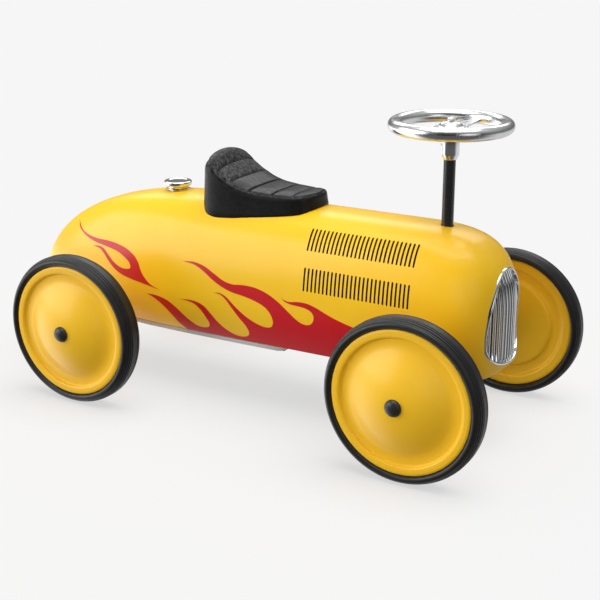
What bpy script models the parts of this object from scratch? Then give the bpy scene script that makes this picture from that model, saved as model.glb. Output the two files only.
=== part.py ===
"""Child's ride-on racing car: pressed steel body, moulded pad and four rubber-tyred wheels.

The front wheels steer from the hand wheel through a vertical column, a crank arm, a tie rod
and two knuckles. The rider pushes along the floor with the feet. Metres, +Z up, +X forwards.
"""

import math

import bmesh
import bpy
from mathutils import Matrix, Vector

# Layout -----------------------------------------------------------------------------------
GAP = 0.0003                      # clearance between pieces that touch
WHEEL_RADIUS = 0.100
FRONT_AXLE_X = 0.2815
REAR_AXLE_X = -0.2011
TRACK_HALF = 0.164                # wheel mid-plane to the middle of the car
AXLE_Z = WHEEL_RADIUS
COLUMN_X = 0.256
KINGPIN_Y = 0.125
CRANK = 0.034                     # length of the crank arm and of both knuckle arms

# Body outline -----------------------------------------------------------------------------
TAIL_X = -0.3815
NOSE_X = 0.3452
NOSE_HEIGHT_X = 0.3520            # where the crown line would close
NOSE_FLOOR_X = 0.3521             # where the belly line would close
BODY_HALF_WIDTH = 0.0723
BODY_TOP_Z = 0.2665
BODY_BOTTOM_Z = 0.0927
BODY_WIDEST_Z = 0.1474
NOSE_MIDDLE_Z = 0.1278
SECTION_POWER = 2.72              # superellipse of the arch over the widest line
BELLY_TUCK = 0.134                # how much narrower the bottom edge is
SHEET = 0.0016                    # body sheet thickness

# Wheel ------------------------------------------------------------------------------------
TYRE_HALF_WIDTH = 0.0169
RIM_EDGE_RADIUS = 0.0873
SLEEVE_RADIUS = 0.0092
WHEEL_STEPS = 24                  # a multiple of four, so a corner meets the floor
STUB_RADIUS = 0.0050
AXLE_END_Y = TRACK_HALF + 0.0262

# Hand wheel -------------------------------------------------------------------------------
RING_Z = 0.3871
RING_RADIUS = 0.0668
RING_TUBE = 0.0081
COLUMN_RADIUS = 0.0073
COLLAR_RADIUS = 0.0110
COLLAR_BOTTOM_Z = 0.3463
HUB_BOTTOM_Z = 0.3765
HUB_FLANGE_RADIUS = 0.0205

# Chassis ----------------------------------------------------------------------------------
CHANNEL_FLOOR_Z = 0.1093
CHANNEL_HALF_WIDTH = 0.026
ARM_Z = 0.0985                    # middle of the crank arm and the knuckle arms
TIE_ROD_Z = 0.0943
PLATE = 0.0036

COLLECTION = "pedal_car"
CUTTERS = "cutters"

YELLOW = ("yellow_enamel", (0.86, 0.47, 0.05), 0.28, 0.0)
RUBBER = ("tyre_rubber", (0.03, 0.03, 0.032), 0.6, 0.0)
BLACK_PLASTIC = ("black_plastic", (0.02, 0.02, 0.02), 0.45, 0.0)
SEAT_VINYL = ("seat_vinyl", (0.03, 0.03, 0.03), 0.5, 0.0)
CHROME = ("chrome", (0.8, 0.8, 0.82), 0.08, 1.0)
BLACK_STEEL = ("black_steel", (0.03, 0.03, 0.03), 0.4, 0.4)
GREY_STEEL = ("grey_steel", (0.5, 0.5, 0.5), 0.45, 0.8)
NYLON = ("white_nylon", (0.75, 0.74, 0.7), 0.5, 0.0)


# Scene and object helpers -----------------------------------------------------------------
def clear_scene():
    for old in list(bpy.data.objects):
        bpy.data.objects.remove(old, do_unlink=True)


def new_collection(name):
    group = bpy.data.collections.new(name)
    bpy.context.scene.collection.children.link(group)
    return group


def material(finish):
    name, colour, roughness, metallic = finish
    if name in bpy.data.materials:
        return bpy.data.materials[name]
    made = bpy.data.materials.new(name)
    made.use_nodes = True
    shader = made.node_tree.nodes["Principled BSDF"]
    shader.inputs["Base Color"].default_value = (*colour, 1.0)
    shader.inputs["Roughness"].default_value = roughness
    shader.inputs["Metallic"].default_value = metallic
    return made


def new_object(name, mesh, finish, group=COLLECTION):
    made = bpy.data.objects.new(name, mesh)
    bpy.data.collections[group].objects.link(made)
    if finish:
        made.data.materials.append(material(finish))
    return made


def mesh_from(name, work):
    bmesh.ops.recalc_face_normals(work, faces=work.faces)
    mesh = bpy.data.meshes.new(name)
    work.to_mesh(mesh)
    work.free()
    return mesh


def shade_round(made, angle=35.0):
    made.data.shade_smooth()
    made.data.set_sharp_from_angle(angle=math.radians(angle))


def box_mesh(name, low, high):
    work = bmesh.new()
    bmesh.ops.create_cube(work, size=1.0)
    size = Vector(high) - Vector(low)
    middle = (Vector(high) + Vector(low)) / 2
    work.transform(Matrix.Translation(middle) @ Matrix.Diagonal((*size, 1.0)))
    return mesh_from(name, work)


def box(name, low, high, finish):
    return new_object(name, box_mesh(name, low, high), finish)


def turned(name, profile, finish, steps=32, group=COLLECTION):
    """Turns (radius, height) points about +Z. They run down the outer side, top to bottom."""
    mesh = bpy.data.meshes.new(name)
    points = [(r, 0.0, h) for r, h in profile]
    closed = profile[0][0] > 0.0
    edges = [(i, i + 1) for i in range(len(points) - 1)]
    if closed:
        edges.append((len(points) - 1, 0))
    mesh.from_pydata(points, edges, [])
    made = new_object(name, mesh, finish, group)
    spin = made.modifiers.new("turn", "SCREW")
    spin.steps = steps
    spin.render_steps = steps
    spin.use_merge_vertices = True
    spin.merge_threshold = 0.00001
    spin.use_smooth_shade = True
    return made


def rod(name, radius, length, finish, steps=20, group=COLLECTION):
    """A round bar about +Z with its foot at the origin."""
    return turned(name, [(0, length), (radius, length), (radius, 0), (0, 0)], finish, steps, group)


def plate(name, outline, thickness, finish, group=COLLECTION):
    """A flat outline in X and Y, extruded about its own middle plane."""
    curve = bpy.data.curves.new(name, "CURVE")
    curve.dimensions = "2D"
    curve.fill_mode = "BOTH"
    curve.extrude = thickness / 2
    spline = curve.splines.new("POLY")
    spline.points.add(len(outline) - 1)
    for point, (x, y) in zip(spline.points, outline):
        point.co = (x, y, 0.0, 1.0)
    spline.use_cyclic_u = True
    drawn = bpy.data.objects.new(name + "_outline", curve)
    bpy.data.collections[group].objects.link(drawn)
    bpy.context.view_layer.update()
    graph = bpy.context.evaluated_depsgraph_get()
    mesh = bpy.data.meshes.new_from_object(drawn.evaluated_get(graph))
    bpy.data.objects.remove(drawn)
    work = bmesh.new()
    work.from_mesh(mesh)
    bmesh.ops.remove_doubles(work, verts=work.verts, dist=0.00001)
    mesh = mesh_from(name, work)
    return new_object(name, mesh, finish, group)


def arc(middle, radius, start, end, count):
    """Points on a circle, angles in degrees."""
    angles = [math.radians(start + (end - start) * i / (count - 1)) for i in range(count)]
    return [(middle[0] + radius * math.cos(a), middle[1] + radius * math.sin(a)) for a in angles]


def as_cutter(made):
    made.hide_render = True
    made.display_type = "WIRE"
    return made


def boolean(made, tool, operation):
    step = made.modifiers.new(operation.lower() + "_" + tool.name, "BOOLEAN")
    step.operation = operation
    step.solver = "EXACT"
    step.object = tool
    return made


def cut(made, *tools):
    for tool in tools:
        boolean(made, as_cutter(tool), "DIFFERENCE")
    return made


def join(made, *tools):
    for tool in tools:
        boolean(made, as_cutter(tool), "UNION")
    return made


def cutter_box(name, low, high):
    return new_object(name, box_mesh(name, low, high), None, CUTTERS)


def cutter_rod(name, radius, length, place, axis="Z", steps=20):
    tool = rod(name, radius, length, None, steps, CUTTERS)
    tool.location = place
    tool.rotation_euler = {"Z": (0, 0, 0), "Y": (-math.pi / 2, 0, 0), "X": (0, math.pi / 2, 0)}[axis]
    return tool


def rise(points, x):
    """A smooth curve through a few (x, value) points, with level ends."""
    if x <= points[0][0]:
        return points[0][1]
    if x >= points[-1][0]:
        return points[-1][1]
    slopes = [0.0]
    for before, here, after in zip(points, points[1:], points[2:]):
        slopes.append((after[1] - before[1]) / (after[0] - before[0]))
    slopes.append(0.0)
    i = max(k for k in range(len(points) - 1) if points[k][0] <= x)
    (x0, v0), (x1, v1) = points[i], points[i + 1]
    span = x1 - x0
    t = (x - x0) / span
    start = (1 + 2 * t) * (1 - t) ** 2 * v0 + t * (1 - t) ** 2 * span * slopes[i]
    return start + t * t * (3 - 2 * t) * v1 + t * t * (t - 1) * span * slopes[i + 1]


def loft(name, sections, finish, group=COLLECTION):
    """Skins closed sections, each a list of points; sections of one point close an end."""
    work = bmesh.new()
    rings = [[work.verts.new(p) for p in section] for section in sections]
    for a, b in zip(rings, rings[1:]):
        count = max(len(a), len(b))
        for i in range(count):
            j = (i + 1) % count
            if len(a) == 1:
                work.faces.new((a[0], b[i], b[j]))
            elif len(b) == 1:
                work.faces.new((a[i], b[0], a[j]))
            else:
                work.faces.new((a[i], b[i], b[j], a[j]))
    for ring in (rings[0], rings[-1]):
        if len(ring) > 1:
            work.faces.new(ring)
    bmesh.ops.remove_doubles(work, verts=work.verts, dist=0.00002)
    bmesh.ops.dissolve_degenerate(work, edges=work.edges, dist=0.00001)
    return new_object(name, mesh_from(name, work), finish, group)


# Body surface -----------------------------------------------------------------------------
def share(x, start, end):
    return min(max((x - start) / (end - start), 0.0), 1.0)


def body_sizes(x, inset=0.0):
    """Half width, crown height, widest height and belly height of the body at x."""
    tail = share(x, -0.0464, TAIL_X + inset)
    tail_width = (1 - tail ** 2.31) ** 0.46
    tail_height = (1 - tail ** 2.64) ** 0.5
    nose_width = (1 - share(x, 0.2002, NOSE_X - inset) ** 7) ** 0.6
    nose_height = (1 - share(x, 0.2002, NOSE_HEIGHT_X - inset) ** 4) ** 0.42
    nose_belly = (1 - share(x, 0.2586, NOSE_FLOOR_X - inset) ** 8.26) ** 0.561
    widening = 0.9954 + 0.1135 * max(x, -0.26)
    half = (BODY_HALF_WIDTH - inset) * tail_width * nose_width * widening
    floor = BODY_BOTTOM_Z + inset
    top = BODY_TOP_Z - inset
    if x < 0.1:
        crown = floor + (top - floor) * tail_height
        widest = floor + (BODY_WIDEST_Z - floor) * tail_height
        return half, crown, widest, floor
    crown = NOSE_MIDDLE_Z + (top - NOSE_MIDDLE_Z) * nose_height
    widest = BODY_WIDEST_Z + (NOSE_MIDDLE_Z - BODY_WIDEST_Z) * (1 - nose_height)
    belly = NOSE_MIDDLE_Z - (NOSE_MIDDLE_Z - floor) * nose_belly
    return half, crown, widest, belly


def body_half_section(x, arch_points, side_points, inset=0.0):
    """(y, z) points from the crown down one side to the bottom edge."""
    half, crown, widest, belly = body_sizes(x, inset)
    points = []
    for i in range(arch_points):
        a = math.pi / 2 * i / (arch_points - 1)
        y = half * math.sin(a) ** (2 / SECTION_POWER)
        z = widest + (crown - widest) * math.cos(a) ** (2 / SECTION_POWER)
        points.append((y, z))
    for i in range(1, side_points + 1):
        down = i / side_points
        points.append((half * (1 - BELLY_TUCK * down ** 2), widest + (belly - widest) * down))
    flare = 0.1309 - 0.4068 * x
    return [(y * (1 + flare * (crown - z) / 0.17), z) for y, z in points]


def body_height_at(x, y):
    """Height of the body's skin above the point (x, y)."""
    points = body_half_section(x, 25, 2)
    for (y0, z0), (y1, z1) in zip(points, points[1:]):
        if y0 <= abs(y) <= y1:
            return z0 + (z1 - z0) * (abs(y) - y0) / (y1 - y0)
    return points[-1][1]


def body_solid(name, inset, finish, group):
    """The whole outer form of the body, closed underneath."""
    tail, nose = TAIL_X + inset, NOSE_X - inset
    middle, reach = (tail + nose) / 2, (nose - tail) / 2
    count = 22
    sections = [[(tail, 0.0, BODY_BOTTOM_Z + inset)]]
    for i in range(1, count + 1):
        x = middle - reach * math.cos(math.pi * i / count)
        half = body_half_section(x, 8, 2, inset)
        right = [(x, -y, z) for y, z in half]
        left = [(x, y, z) for y, z in reversed(half[1:])]
        sections.append(right + left)
    sections[-1] = [(x, 0.0, z) for x, y, z in sections[-1]]
    work = bmesh.new()
    rings = [[work.verts.new(p) for p in section] for section in sections]
    for b0, b1 in zip(rings[1], rings[1][1:] + rings[1][:1]):
        work.faces.new((rings[0][0], b0, b1))
    for a, b in zip(rings[1:], rings[2:]):
        for i in range(len(a)):
            j = (i + 1) % len(a)
            work.faces.new((a[i], b[i], b[j], a[j]))
    bmesh.ops.remove_doubles(work, verts=work.verts, dist=0.00005)
    bmesh.ops.dissolve_degenerate(work, edges=work.edges, dist=0.00002)
    return new_object(name, mesh_from(name, work), finish, group)


# Grille outline ---------------------------------------------------------------------------
FACE_LEVELS = [0.090, 0.168, 0.182, 0.194, 0.203, 0.211, 0.218, 0.226]
GRILLE_OUTLINE = [
    (0.2222, 0.0), (0.2202, 0.013), (0.2140, 0.0243), (0.1990, 0.0352), (0.1815, 0.0435),
    (0.1600, 0.0482), (0.1420, 0.0497), (0.1290, 0.0476), (0.1185, 0.0405), (0.1105, 0.0262),
    (0.1074, 0.0),
]


def grille_ring(x, grow):
    """The tall pear-shaped outline of the grille in the plane x, grown outwards."""
    middle = 0.155
    right = [(x, -(y + grow * min(1.0, y / 0.02)), z + grow * (1 if z > middle else -1)
              * (1 - min(1.0, y / 0.045))) for z, y in GRILLE_OUTLINE]
    left = [(px, -py, pz) for px, py, pz in reversed(right[1:-1])]
    return right + left


def face_x(y):
    """Front of the nose in plan: an arc across the grille."""
    radius = 0.090
    return NOSE_X - radius + math.sqrt(radius ** 2 - y ** 2)


def lean(z):
    """How far the top of the nose falls back behind the arc."""
    return 0.0108 * (max(0.0, z - 0.168) / 0.0534) ** 2.3


def leaning(points, levels):
    """Rings of one plan outline at several heights, each moved back with the nose."""
    return [[(x - lean(z), y, z) for x, y in points] for z in levels]


# Body group -------------------------------------------------------------------------------
def make_body():
    shell = body_solid("body_shell", 0.0, YELLOW, COLLECTION)
    hollow = body_solid("body_hollow", SHEET, None, CUTTERS)
    under = cutter_box("under_opening", (-0.345, -0.052, 0.08), (0.300, 0.052, 0.1))
    front_notch = cutter_box("front_notch", (0.200, -0.1, 0.08), (0.2975, 0.1, 0.1215))
    axle_hole = cutter_rod("rear_axle_hole", 0.0085, 0.3, (REAR_AXLE_X, -0.15, AXLE_Z), "Y")
    column_hole = cutter_rod("column_hole", 0.0090, 0.05, (COLUMN_X, 0, 0.245), steps=24)
    neck_hole = cutter_rod("neck_hole", 0.0125, 0.05, (-0.1443, 0, 0.24))
    grille_hole = loft("grille_hole", [grille_ring(0.30, -0.0025), grille_ring(0.36, -0.0025)],
                       None, CUTTERS)
    bolt_holes = [cutter_rod(f"seat_bolt_hole_{i}", 0.0030, 0.04, (x, 0, 0.245), steps=12)
                  for i, x in enumerate((-0.030, 0.055))]
    cut(shell, hollow, under, front_notch, axle_hole, column_hole, neck_hole, grille_hole, *bolt_holes)
    shade_round(shell, 40)


def make_floor():
    """The pan under the tail: a shallow steel tray bolted up to the body's edge."""
    top = BODY_BOTTOM_Z - GAP
    outline = [(-0.335, -0.030), (-0.300, -0.044), (-0.220, -0.056), (0.060, -0.062),
               (0.070, -0.055), (0.070, 0.055), (0.060, 0.062), (-0.220, 0.056),
               (-0.300, 0.044), (-0.335, 0.030)]
    pan = plate("floor_pan", outline, 0.0052, GREY_STEEL)
    pan.location = (0, 0, top - 0.0026)
    inner = [(x * 0.985, y * 0.955) for x, y in outline]
    dish = plate("pan_dish", inner, 0.0052, None, CUTTERS)
    dish.location = (0, 0, top - 0.0026 - 0.0016)
    holes = [cutter_rod(f"pan_hole_{i}", 0.0027, 0.02, (x, 0, 0.085), steps=12)
             for i, x in enumerate((-0.150, 0.040))]
    cut(pan, dish, *holes)


def make_channel():
    """Folded steel channel that joins both axles inside the body."""
    floor, wide = CHANNEL_FLOOR_Z, CHANNEL_HALF_WIDTH
    channel = box("chassis_channel", (-0.226, -wide, floor), (0.3035, wide, floor + 0.016), GREY_STEEL)
    trough = cutter_box("channel_trough", (-0.3, -wide + 0.002, floor + 0.002), (0.4, wide - 0.002, 0.14))
    bush_hole = cutter_rod("channel_bush_hole", 0.0103, 0.03, (COLUMN_X, 0, 0.1))
    holes = [cutter_rod(f"channel_hole_{i}", 0.0027, 0.03, (x, y, 0.1), steps=12)
             for i, (x, y) in enumerate(channel_bolts())]
    cut(channel, trough, bush_hole, *holes)


def channel_bolts():
    """Where bolts pass through the floor of the channel."""
    return [(FRONT_AXLE_X, -0.0165), (FRONT_AXLE_X, 0.0165), (-0.150, 0.0), (0.040, 0.0)]


def make_bolt(name, place, length, radius=0.0024, head=0.0045, nut=True):
    """A round-headed bolt pointing up, with its nut made as a flange on the shank."""
    profile = [(0, length), (radius, length)]
    if nut:
        grip = length - 0.0030
        profile += [(radius, grip + 0.0020), (head, grip + 0.0020), (head, grip), (radius, grip)]
    profile += [(radius, 0), (head, 0), (head * 0.8, -0.0018), (0, -0.0026)]
    made = turned(name, profile, GREY_STEEL, 10)
    made.location = place


def make_fasteners():
    beam_bottom = AXLE_Z - 0.0065
    for side, y in (("right", -0.0165), ("left", 0.0165)):
        grip = CHANNEL_FLOOR_Z + 0.002 - beam_bottom + 2 * GAP
        make_bolt(f"axle_bolt_{side}", (FRONT_AXLE_X, y, beam_bottom - GAP), grip + 0.0030)
    pan_bottom = BODY_BOTTOM_Z - GAP - 0.0016
    for end, x in (("rear", -0.150), ("front", 0.040)):
        grip = CHANNEL_FLOOR_Z + 0.002 - pan_bottom + 2 * GAP
        make_bolt(f"pan_bolt_{end}", (x, 0, pan_bottom - GAP), grip + 0.0030)
        spacer_length = CHANNEL_FLOOR_Z - (BODY_BOTTOM_Z - GAP) - 2 * GAP
        spacer = turned(f"pan_spacer_{end}", tube_profile(0.0027, 0.006, spacer_length), GREY_STEEL, 16)
        spacer.location = (x, 0, BODY_BOTTOM_Z)
    for end, x in (("rear", -0.030), ("front", 0.055)):
        under = body_height_at(x, 0) - SHEET - 0.0012
        make_bolt(f"seat_bolt_{end}", (x, 0, under), 0.011, nut=False)


def tube_profile(inner, outer, length):
    return [(inner, length), (outer, length), (outer, 0), (inner, 0)]


def make_filler():
    x = -0.1443
    base = body_height_at(x + 0.0165, 0)
    neck = turned("filler_neck", [(0, base + 0.0012), (0.0150, base + 0.0012), (0.0165, base + 0.0004),
                                  (0.0120, base + 0.0002), (0.0120, base - 0.010),
                                  (0, base - 0.010)], CHROME, 28)
    neck.location = (x, 0, 0)
    cap = turned("fuel_cap", [(0, 0.0118), (0.0105, 0.0112), (0.0135, 0.0098), (0.0162, 0.0092),
                              (0.0176, 0.0078), (0.0178, 0.0030), (0.0165, 0.0), (0, 0.0)], CHROME, 32)
    cap.location = (x, 0, base + 0.0015)


def make_grille():
    frame = loft("grille_frame", [grille_ring(0.3165, 0.0012), grille_ring(0.3525, 0.0012)], CHROME)
    hole = loft("frame_hole", [grille_ring(0.31, -0.0028), grille_ring(0.37, -0.0028)], None, CUTTERS)
    trim_face(frame, "frame_front", 0.0022)
    seat = body_solid("frame_seat", -GAP, None, CUTTERS)
    cut(frame, hole, seat)
    insert = loft("grille_insert", [grille_ring(0.3165, -0.0031), grille_ring(0.3525, -0.0031)], CHROME)
    trim_face(insert, "insert_front", -0.0005)
    slots = []
    for i in range(-6, 7):
        y = i * 0.0072
        back, near, far = face_x(y) - 0.0048, y - 0.0013, y + 0.0013
        outline = [(back, near), (0.375, near), (0.375, far), (back, far)]
        slots.append(loft(f"rib_gap_{i + 6}", leaning(outline, FACE_LEVELS), None, CUTTERS))
    cut(insert, *slots)


def trim_face(made, name, proud):
    """Keeps what lies behind the nose's face and 11.5 mm before its back."""
    outline = [(face_x(y) + proud, y) for y in [0.058 * k / 8 for k in range(-8, 9)]]
    outline += [(x - 0.0115, y) for x, y in reversed(outline)]
    keep = loft(name, leaning(outline, FACE_LEVELS), None, CUTTERS)
    boolean(made, as_cutter(keep), "INTERSECT")


# Pad --------------------------------------------------------------------------------------
PAD_HALF_WIDTH = [(-0.0808, 0.0165), (-0.0785, 0.0300), (-0.0735, 0.0405), (-0.0660, 0.0482),
                  (-0.0540, 0.0515), (-0.0300, 0.0510), (-0.0003, 0.0476), (0.0343, 0.0427),
                  (0.0607, 0.0372), (0.0708, 0.0326), (0.0783, 0.0235), (0.0822, 0.0120)]
PAD_TOP = [(-0.0808, 0.3085), (-0.0770, 0.3160), (-0.0700, 0.3240), (-0.0640, 0.3265), (-0.0580, 0.3245),
           (-0.0498, 0.3130), (-0.0298, 0.2960), (-0.0030, 0.2865), (0.0282, 0.2840), (0.0561, 0.2840),
           (0.0700, 0.2848), (0.0783, 0.2835), (0.0822, 0.2815)]


def pad_section(x):
    """One cross-section of the pad; its underside follows the body with a small gap."""
    half = rise(PAD_HALF_WIDTH, x)
    top = rise(PAD_TOP, x)
    under = []
    for k in range(-6, 7):
        y = half * math.sin(math.pi / 2 * k / 6)
        under.append((x, y, body_height_at(x, y) + 0.0012))
    edge = under[-1][2]
    shoulder = top - 0.012
    side = max(shoulder, edge + 0.006)
    upper = [(x, half, side), (x, half * 0.93, top - 0.0045), (x, half * 0.72, top - 0.0012),
             (x, half * 0.35, top), (x, -half * 0.35, top), (x, -half * 0.72, top - 0.0012),
             (x, -half * 0.93, top - 0.0045), (x, -half, side)]
    return under + upper


def make_seat():
    stations = [p[0] for p in PAD_HALF_WIDTH]
    pad = loft("seat_pad", [pad_section(x) for x in stations], SEAT_VINYL)
    holes = [cutter_rod(f"pad_hole_{i}", 0.0030, 0.022, (x, 0, 0.255), steps=12)
             for i, x in enumerate((-0.030, 0.055))]
    cut(pad, *holes)
    shade_round(pad, 50)


# Steering ---------------------------------------------------------------------------------
def make_column():
    top = RING_Z + 0.0005
    column = turned("steering_column", [(0, top), (0.0046, top), (0.0050, HUB_BOTTOM_Z),
                                        (COLUMN_RADIUS, HUB_BOTTOM_Z - GAP),
                                        (COLUMN_RADIUS, ARM_Z + PLATE / 2 + GAP),
                                        (0.0044, ARM_Z + PLATE / 2 + GAP),
                                        (0.0044, ARM_Z - PLATE / 2 + GAP),
                                        (0, ARM_Z - PLATE / 2 + GAP)], BLACK_STEEL, 24)
    column.location = (COLUMN_X, 0, 0)
    collar = turned("steering_collar", [(COLUMN_RADIUS + GAP, HUB_BOTTOM_Z - 2 * GAP),
                                        (COLLAR_RADIUS, HUB_BOTTOM_Z - 2 * GAP),
                                        (COLLAR_RADIUS, COLLAR_BOTTOM_Z + 0.0060),
                                        (0.0084, COLLAR_BOTTOM_Z),
                                        (COLUMN_RADIUS + GAP, COLLAR_BOTTOM_Z)], CHROME, 24)
    collar.location = (COLUMN_X, 0, 0)
    screw_angle = math.radians(215)
    cut(collar, angled_rod("collar_hole", 0.0021, 0.02, screw_angle, 0.3640))
    grub = turned("collar_screw", [(0, 0.0028), (0.0012, 0.0028), (0.0018, 0.0034), (0.0018, 0),
                                   (0, 0)], BLACK_STEEL, 12)
    along = Vector((math.cos(screw_angle), math.sin(screw_angle), 0))
    grub.location = Vector((COLUMN_X, 0, 0.3640)) + along * (COLUMN_RADIUS + GAP)
    grub.rotation_euler = (0, math.pi / 2, screw_angle)


def angled_rod(name, radius, length, angle, z):
    tool = rod(name, radius, length, None, 16, CUTTERS)
    tool.location = (COLUMN_X, 0, z)
    tool.rotation_euler = (0, math.pi / 2, angle)
    return tool


def make_hand_wheel():
    """Cast ring with two broad flat spokes across the car and a domed hub."""
    work = bmesh.new()
    ring_steps, tube_steps = 32, 8
    for i in range(ring_steps):
        a = 2 * math.pi * i / ring_steps
        for j in range(tube_steps):
            b = 2 * math.pi * j / tube_steps
            r = RING_RADIUS + RING_TUBE * math.cos(b)
            work.verts.new((r * math.cos(a), r * math.sin(a), RING_TUBE * math.sin(b)))
    work.verts.ensure_lookup_table()
    for i in range(ring_steps):
        for j in range(tube_steps):
            corners = [(i, j), ((i + 1) % ring_steps, j),
                       ((i + 1) % ring_steps, (j + 1) % tube_steps), (i, (j + 1) % tube_steps)]
            work.faces.new([work.verts[p * tube_steps + q] for p, q in corners])
    ring = new_object("steering_wheel", mesh_from("steering_wheel", work), CHROME)
    ring.location = (COLUMN_X, 0, RING_Z)
    reach = RING_RADIUS
    spokes = plate("wheel_spokes", [(-0.013, -reach), (0.013, -reach), (0.0155, -0.018),
                                    (0.0155, 0.018), (0.013, reach), (-0.013, reach),
                                    (-0.0155, 0.018), (-0.0155, -0.018)], 0.0032, None, CUTTERS)
    spokes.location = (COLUMN_X, 0, RING_Z - 0.0030)
    hub = turned("wheel_hub", [(0, RING_Z + 0.0056), (0.0060, RING_Z + 0.0052),
                               (0.0125, RING_Z + 0.0020), (0.0150, RING_Z - 0.0018),
                               (HUB_FLANGE_RADIUS, RING_Z - 0.0022),
                               (HUB_FLANGE_RADIUS, RING_Z - 0.0052),
                               (0.0118, HUB_BOTTOM_Z), (0, HUB_BOTTOM_Z)], None, 28, CUTTERS)
    hub.location = (COLUMN_X, 0, 0)
    bore = cutter_rod("hub_bore", 0.0054, 0.04, (COLUMN_X, 0, 0.365), steps=20)
    join(ring, spokes, hub)
    cut(ring, bore)
    shade_round(ring, 40)
    head = turned("wheel_screw", [(0, 0.0012), (0.0021, 0.0012), (0.0022, 0.0034), (0.0042, 0.0034),
                                  (0.0048, 0.0026), (0.0048, 0.0), (0, 0.0)], CHROME, 20)
    head.location = (COLUMN_X, 0, RING_Z + 0.0060)


def make_bushes():
    crown = body_height_at(COLUMN_X, 0)
    bush = turned("column_grommet", [(COLUMN_RADIUS + GAP, crown + 0.0012), (0.0083, crown + 0.0010),
                                     (0.0086, crown + 0.0004), (0.0086, crown - 0.0060),
                                     (COLUMN_RADIUS + GAP, crown - 0.0060)], BLACK_PLASTIC, 24)
    bush.location = (COLUMN_X, 0, 0)
    floor = CHANNEL_FLOOR_Z
    lower = turned("column_bush", [(COLUMN_RADIUS + GAP, floor + 0.0120), (0.0100, floor + 0.0120),
                                   (0.0100, floor + 0.0020 + 2 * GAP + 0.0010),
                                   (0.0130, floor + 0.0020 + GAP + 0.0010),
                                   (0.0130, floor + 0.0020 + GAP), (0.0100, floor + 0.0020 + GAP),
                                   (0.0100, floor - 0.0010), (COLUMN_RADIUS + GAP, floor - 0.0010)],
                   NYLON, 24)
    lower.location = (COLUMN_X, 0, 0)


def arm_outline(length, root, tip):
    """A tapering arm that points backwards from the origin, round at both ends."""
    return arc((0, 0), root, -90, 90, 7) + arc((-length, 0), tip, 90, 270, 7)


def make_linkage():
    crank = plate("crank_arm", arm_outline(CRANK, 0.0095, 0.0065), PLATE, BLACK_STEEL)
    crank.location = (COLUMN_X, 0, ARM_Z)
    cut(crank, cutter_rod("crank_root_hole", 0.0047, 0.02, (COLUMN_X, 0, 0.09)),
        cutter_rod("crank_pin_hole", 0.0029, 0.02, (COLUMN_X - CRANK, 0, 0.09), steps=16))
    bar_x = FRONT_AXLE_X - CRANK
    pin_x = COLUMN_X - CRANK
    offset = pin_x - bar_x
    outline = (arc((0, -KINGPIN_Y), 0.0062, 180, 360, 7) + [(0.0062, KINGPIN_Y)]
               + arc((0, KINGPIN_Y), 0.0062, 30, 180, 6)
               + [(-0.0062, 0.022), (offset - 0.002, 0.0062)]
               + arc((offset, 0), 0.0062, 110, 250, 6)
               + [(offset - 0.002, -0.0062), (-0.0062, -0.022)])
    bar = plate("tie_rod", outline, PLATE, GREY_STEEL)
    bar.location = (bar_x, 0, TIE_ROD_Z)
    places = {"right": (bar_x, -KINGPIN_Y), "left": (bar_x, KINGPIN_Y), "crank": (pin_x, 0)}
    for name, (x, y) in places.items():
        cut(bar, cutter_rod(f"bar_hole_{name}", 0.0029, 0.02, (x, y, 0.085), steps=16))
        make_link_pin(f"link_pin_{name}", (x, y))


def make_link_pin(name, place):
    """A riveted pin through the tie rod and the arm above it."""
    low = TIE_ROD_Z - PLATE / 2 - GAP
    high = ARM_Z + PLATE / 2 + GAP
    pin = turned(name, [(0, high + 0.0014), (0.0032, high + 0.0012), (0.0044, high),
                        (0.0026, high), (0.0026, low), (0.0044, low), (0.0036, low - 0.0012),
                        (0, low - 0.0014)], GREY_STEEL, 16)
    pin.location = (*place, 0)


# Axles ------------------------------------------------------------------------------------
def make_front_axle():
    """Beam with a forked yoke at each end that holds a knuckle."""
    x, z = FRONT_AXLE_X, AXLE_Z
    beam = box("front_axle_beam", (x - 0.0075, -0.1100, z - 0.0062), (x + 0.0075, 0.1100, z + 0.0062),
               BLACK_STEEL)
    for side, s in (("right", -1), ("left", 1)):
        inner, outer = sorted((s * 0.1075, s * 0.1385))
        yoke = cutter_box(f"yoke_{side}", (x - 0.0105, inner, z - 0.0180), (x + 0.0105, outer, z + 0.0180))
        inner, outer = sorted((s * 0.1120, s * 0.1500))
        fork = cutter_box(f"fork_{side}", (x - 0.03, inner, z - 0.0125), (x + 0.03, outer, z + 0.0125))
        join(beam, yoke)
        cut(beam, fork, cutter_rod(f"kingpin_hole_{side}", 0.0041, 0.06, (x, s * KINGPIN_Y, 0.07),
                                   steps=16))
    for i, y in enumerate((-0.0165, 0.0165)):
        cut(beam, cutter_rod(f"beam_hole_{i}", 0.0027, 0.03, (x, y, 0.085), steps=12))
    spacer = box("axle_spacer", (x - 0.011, -0.0245, z + 0.0062 + GAP),
                 (x + 0.011, 0.0245, CHANNEL_FLOOR_Z - GAP), GREY_STEEL)
    for i, y in enumerate((-0.0165, 0.0165)):
        cut(spacer, cutter_rod(f"spacer_hole_{i}", 0.0027, 0.03, (x, y, 0.09), steps=12))


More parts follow.
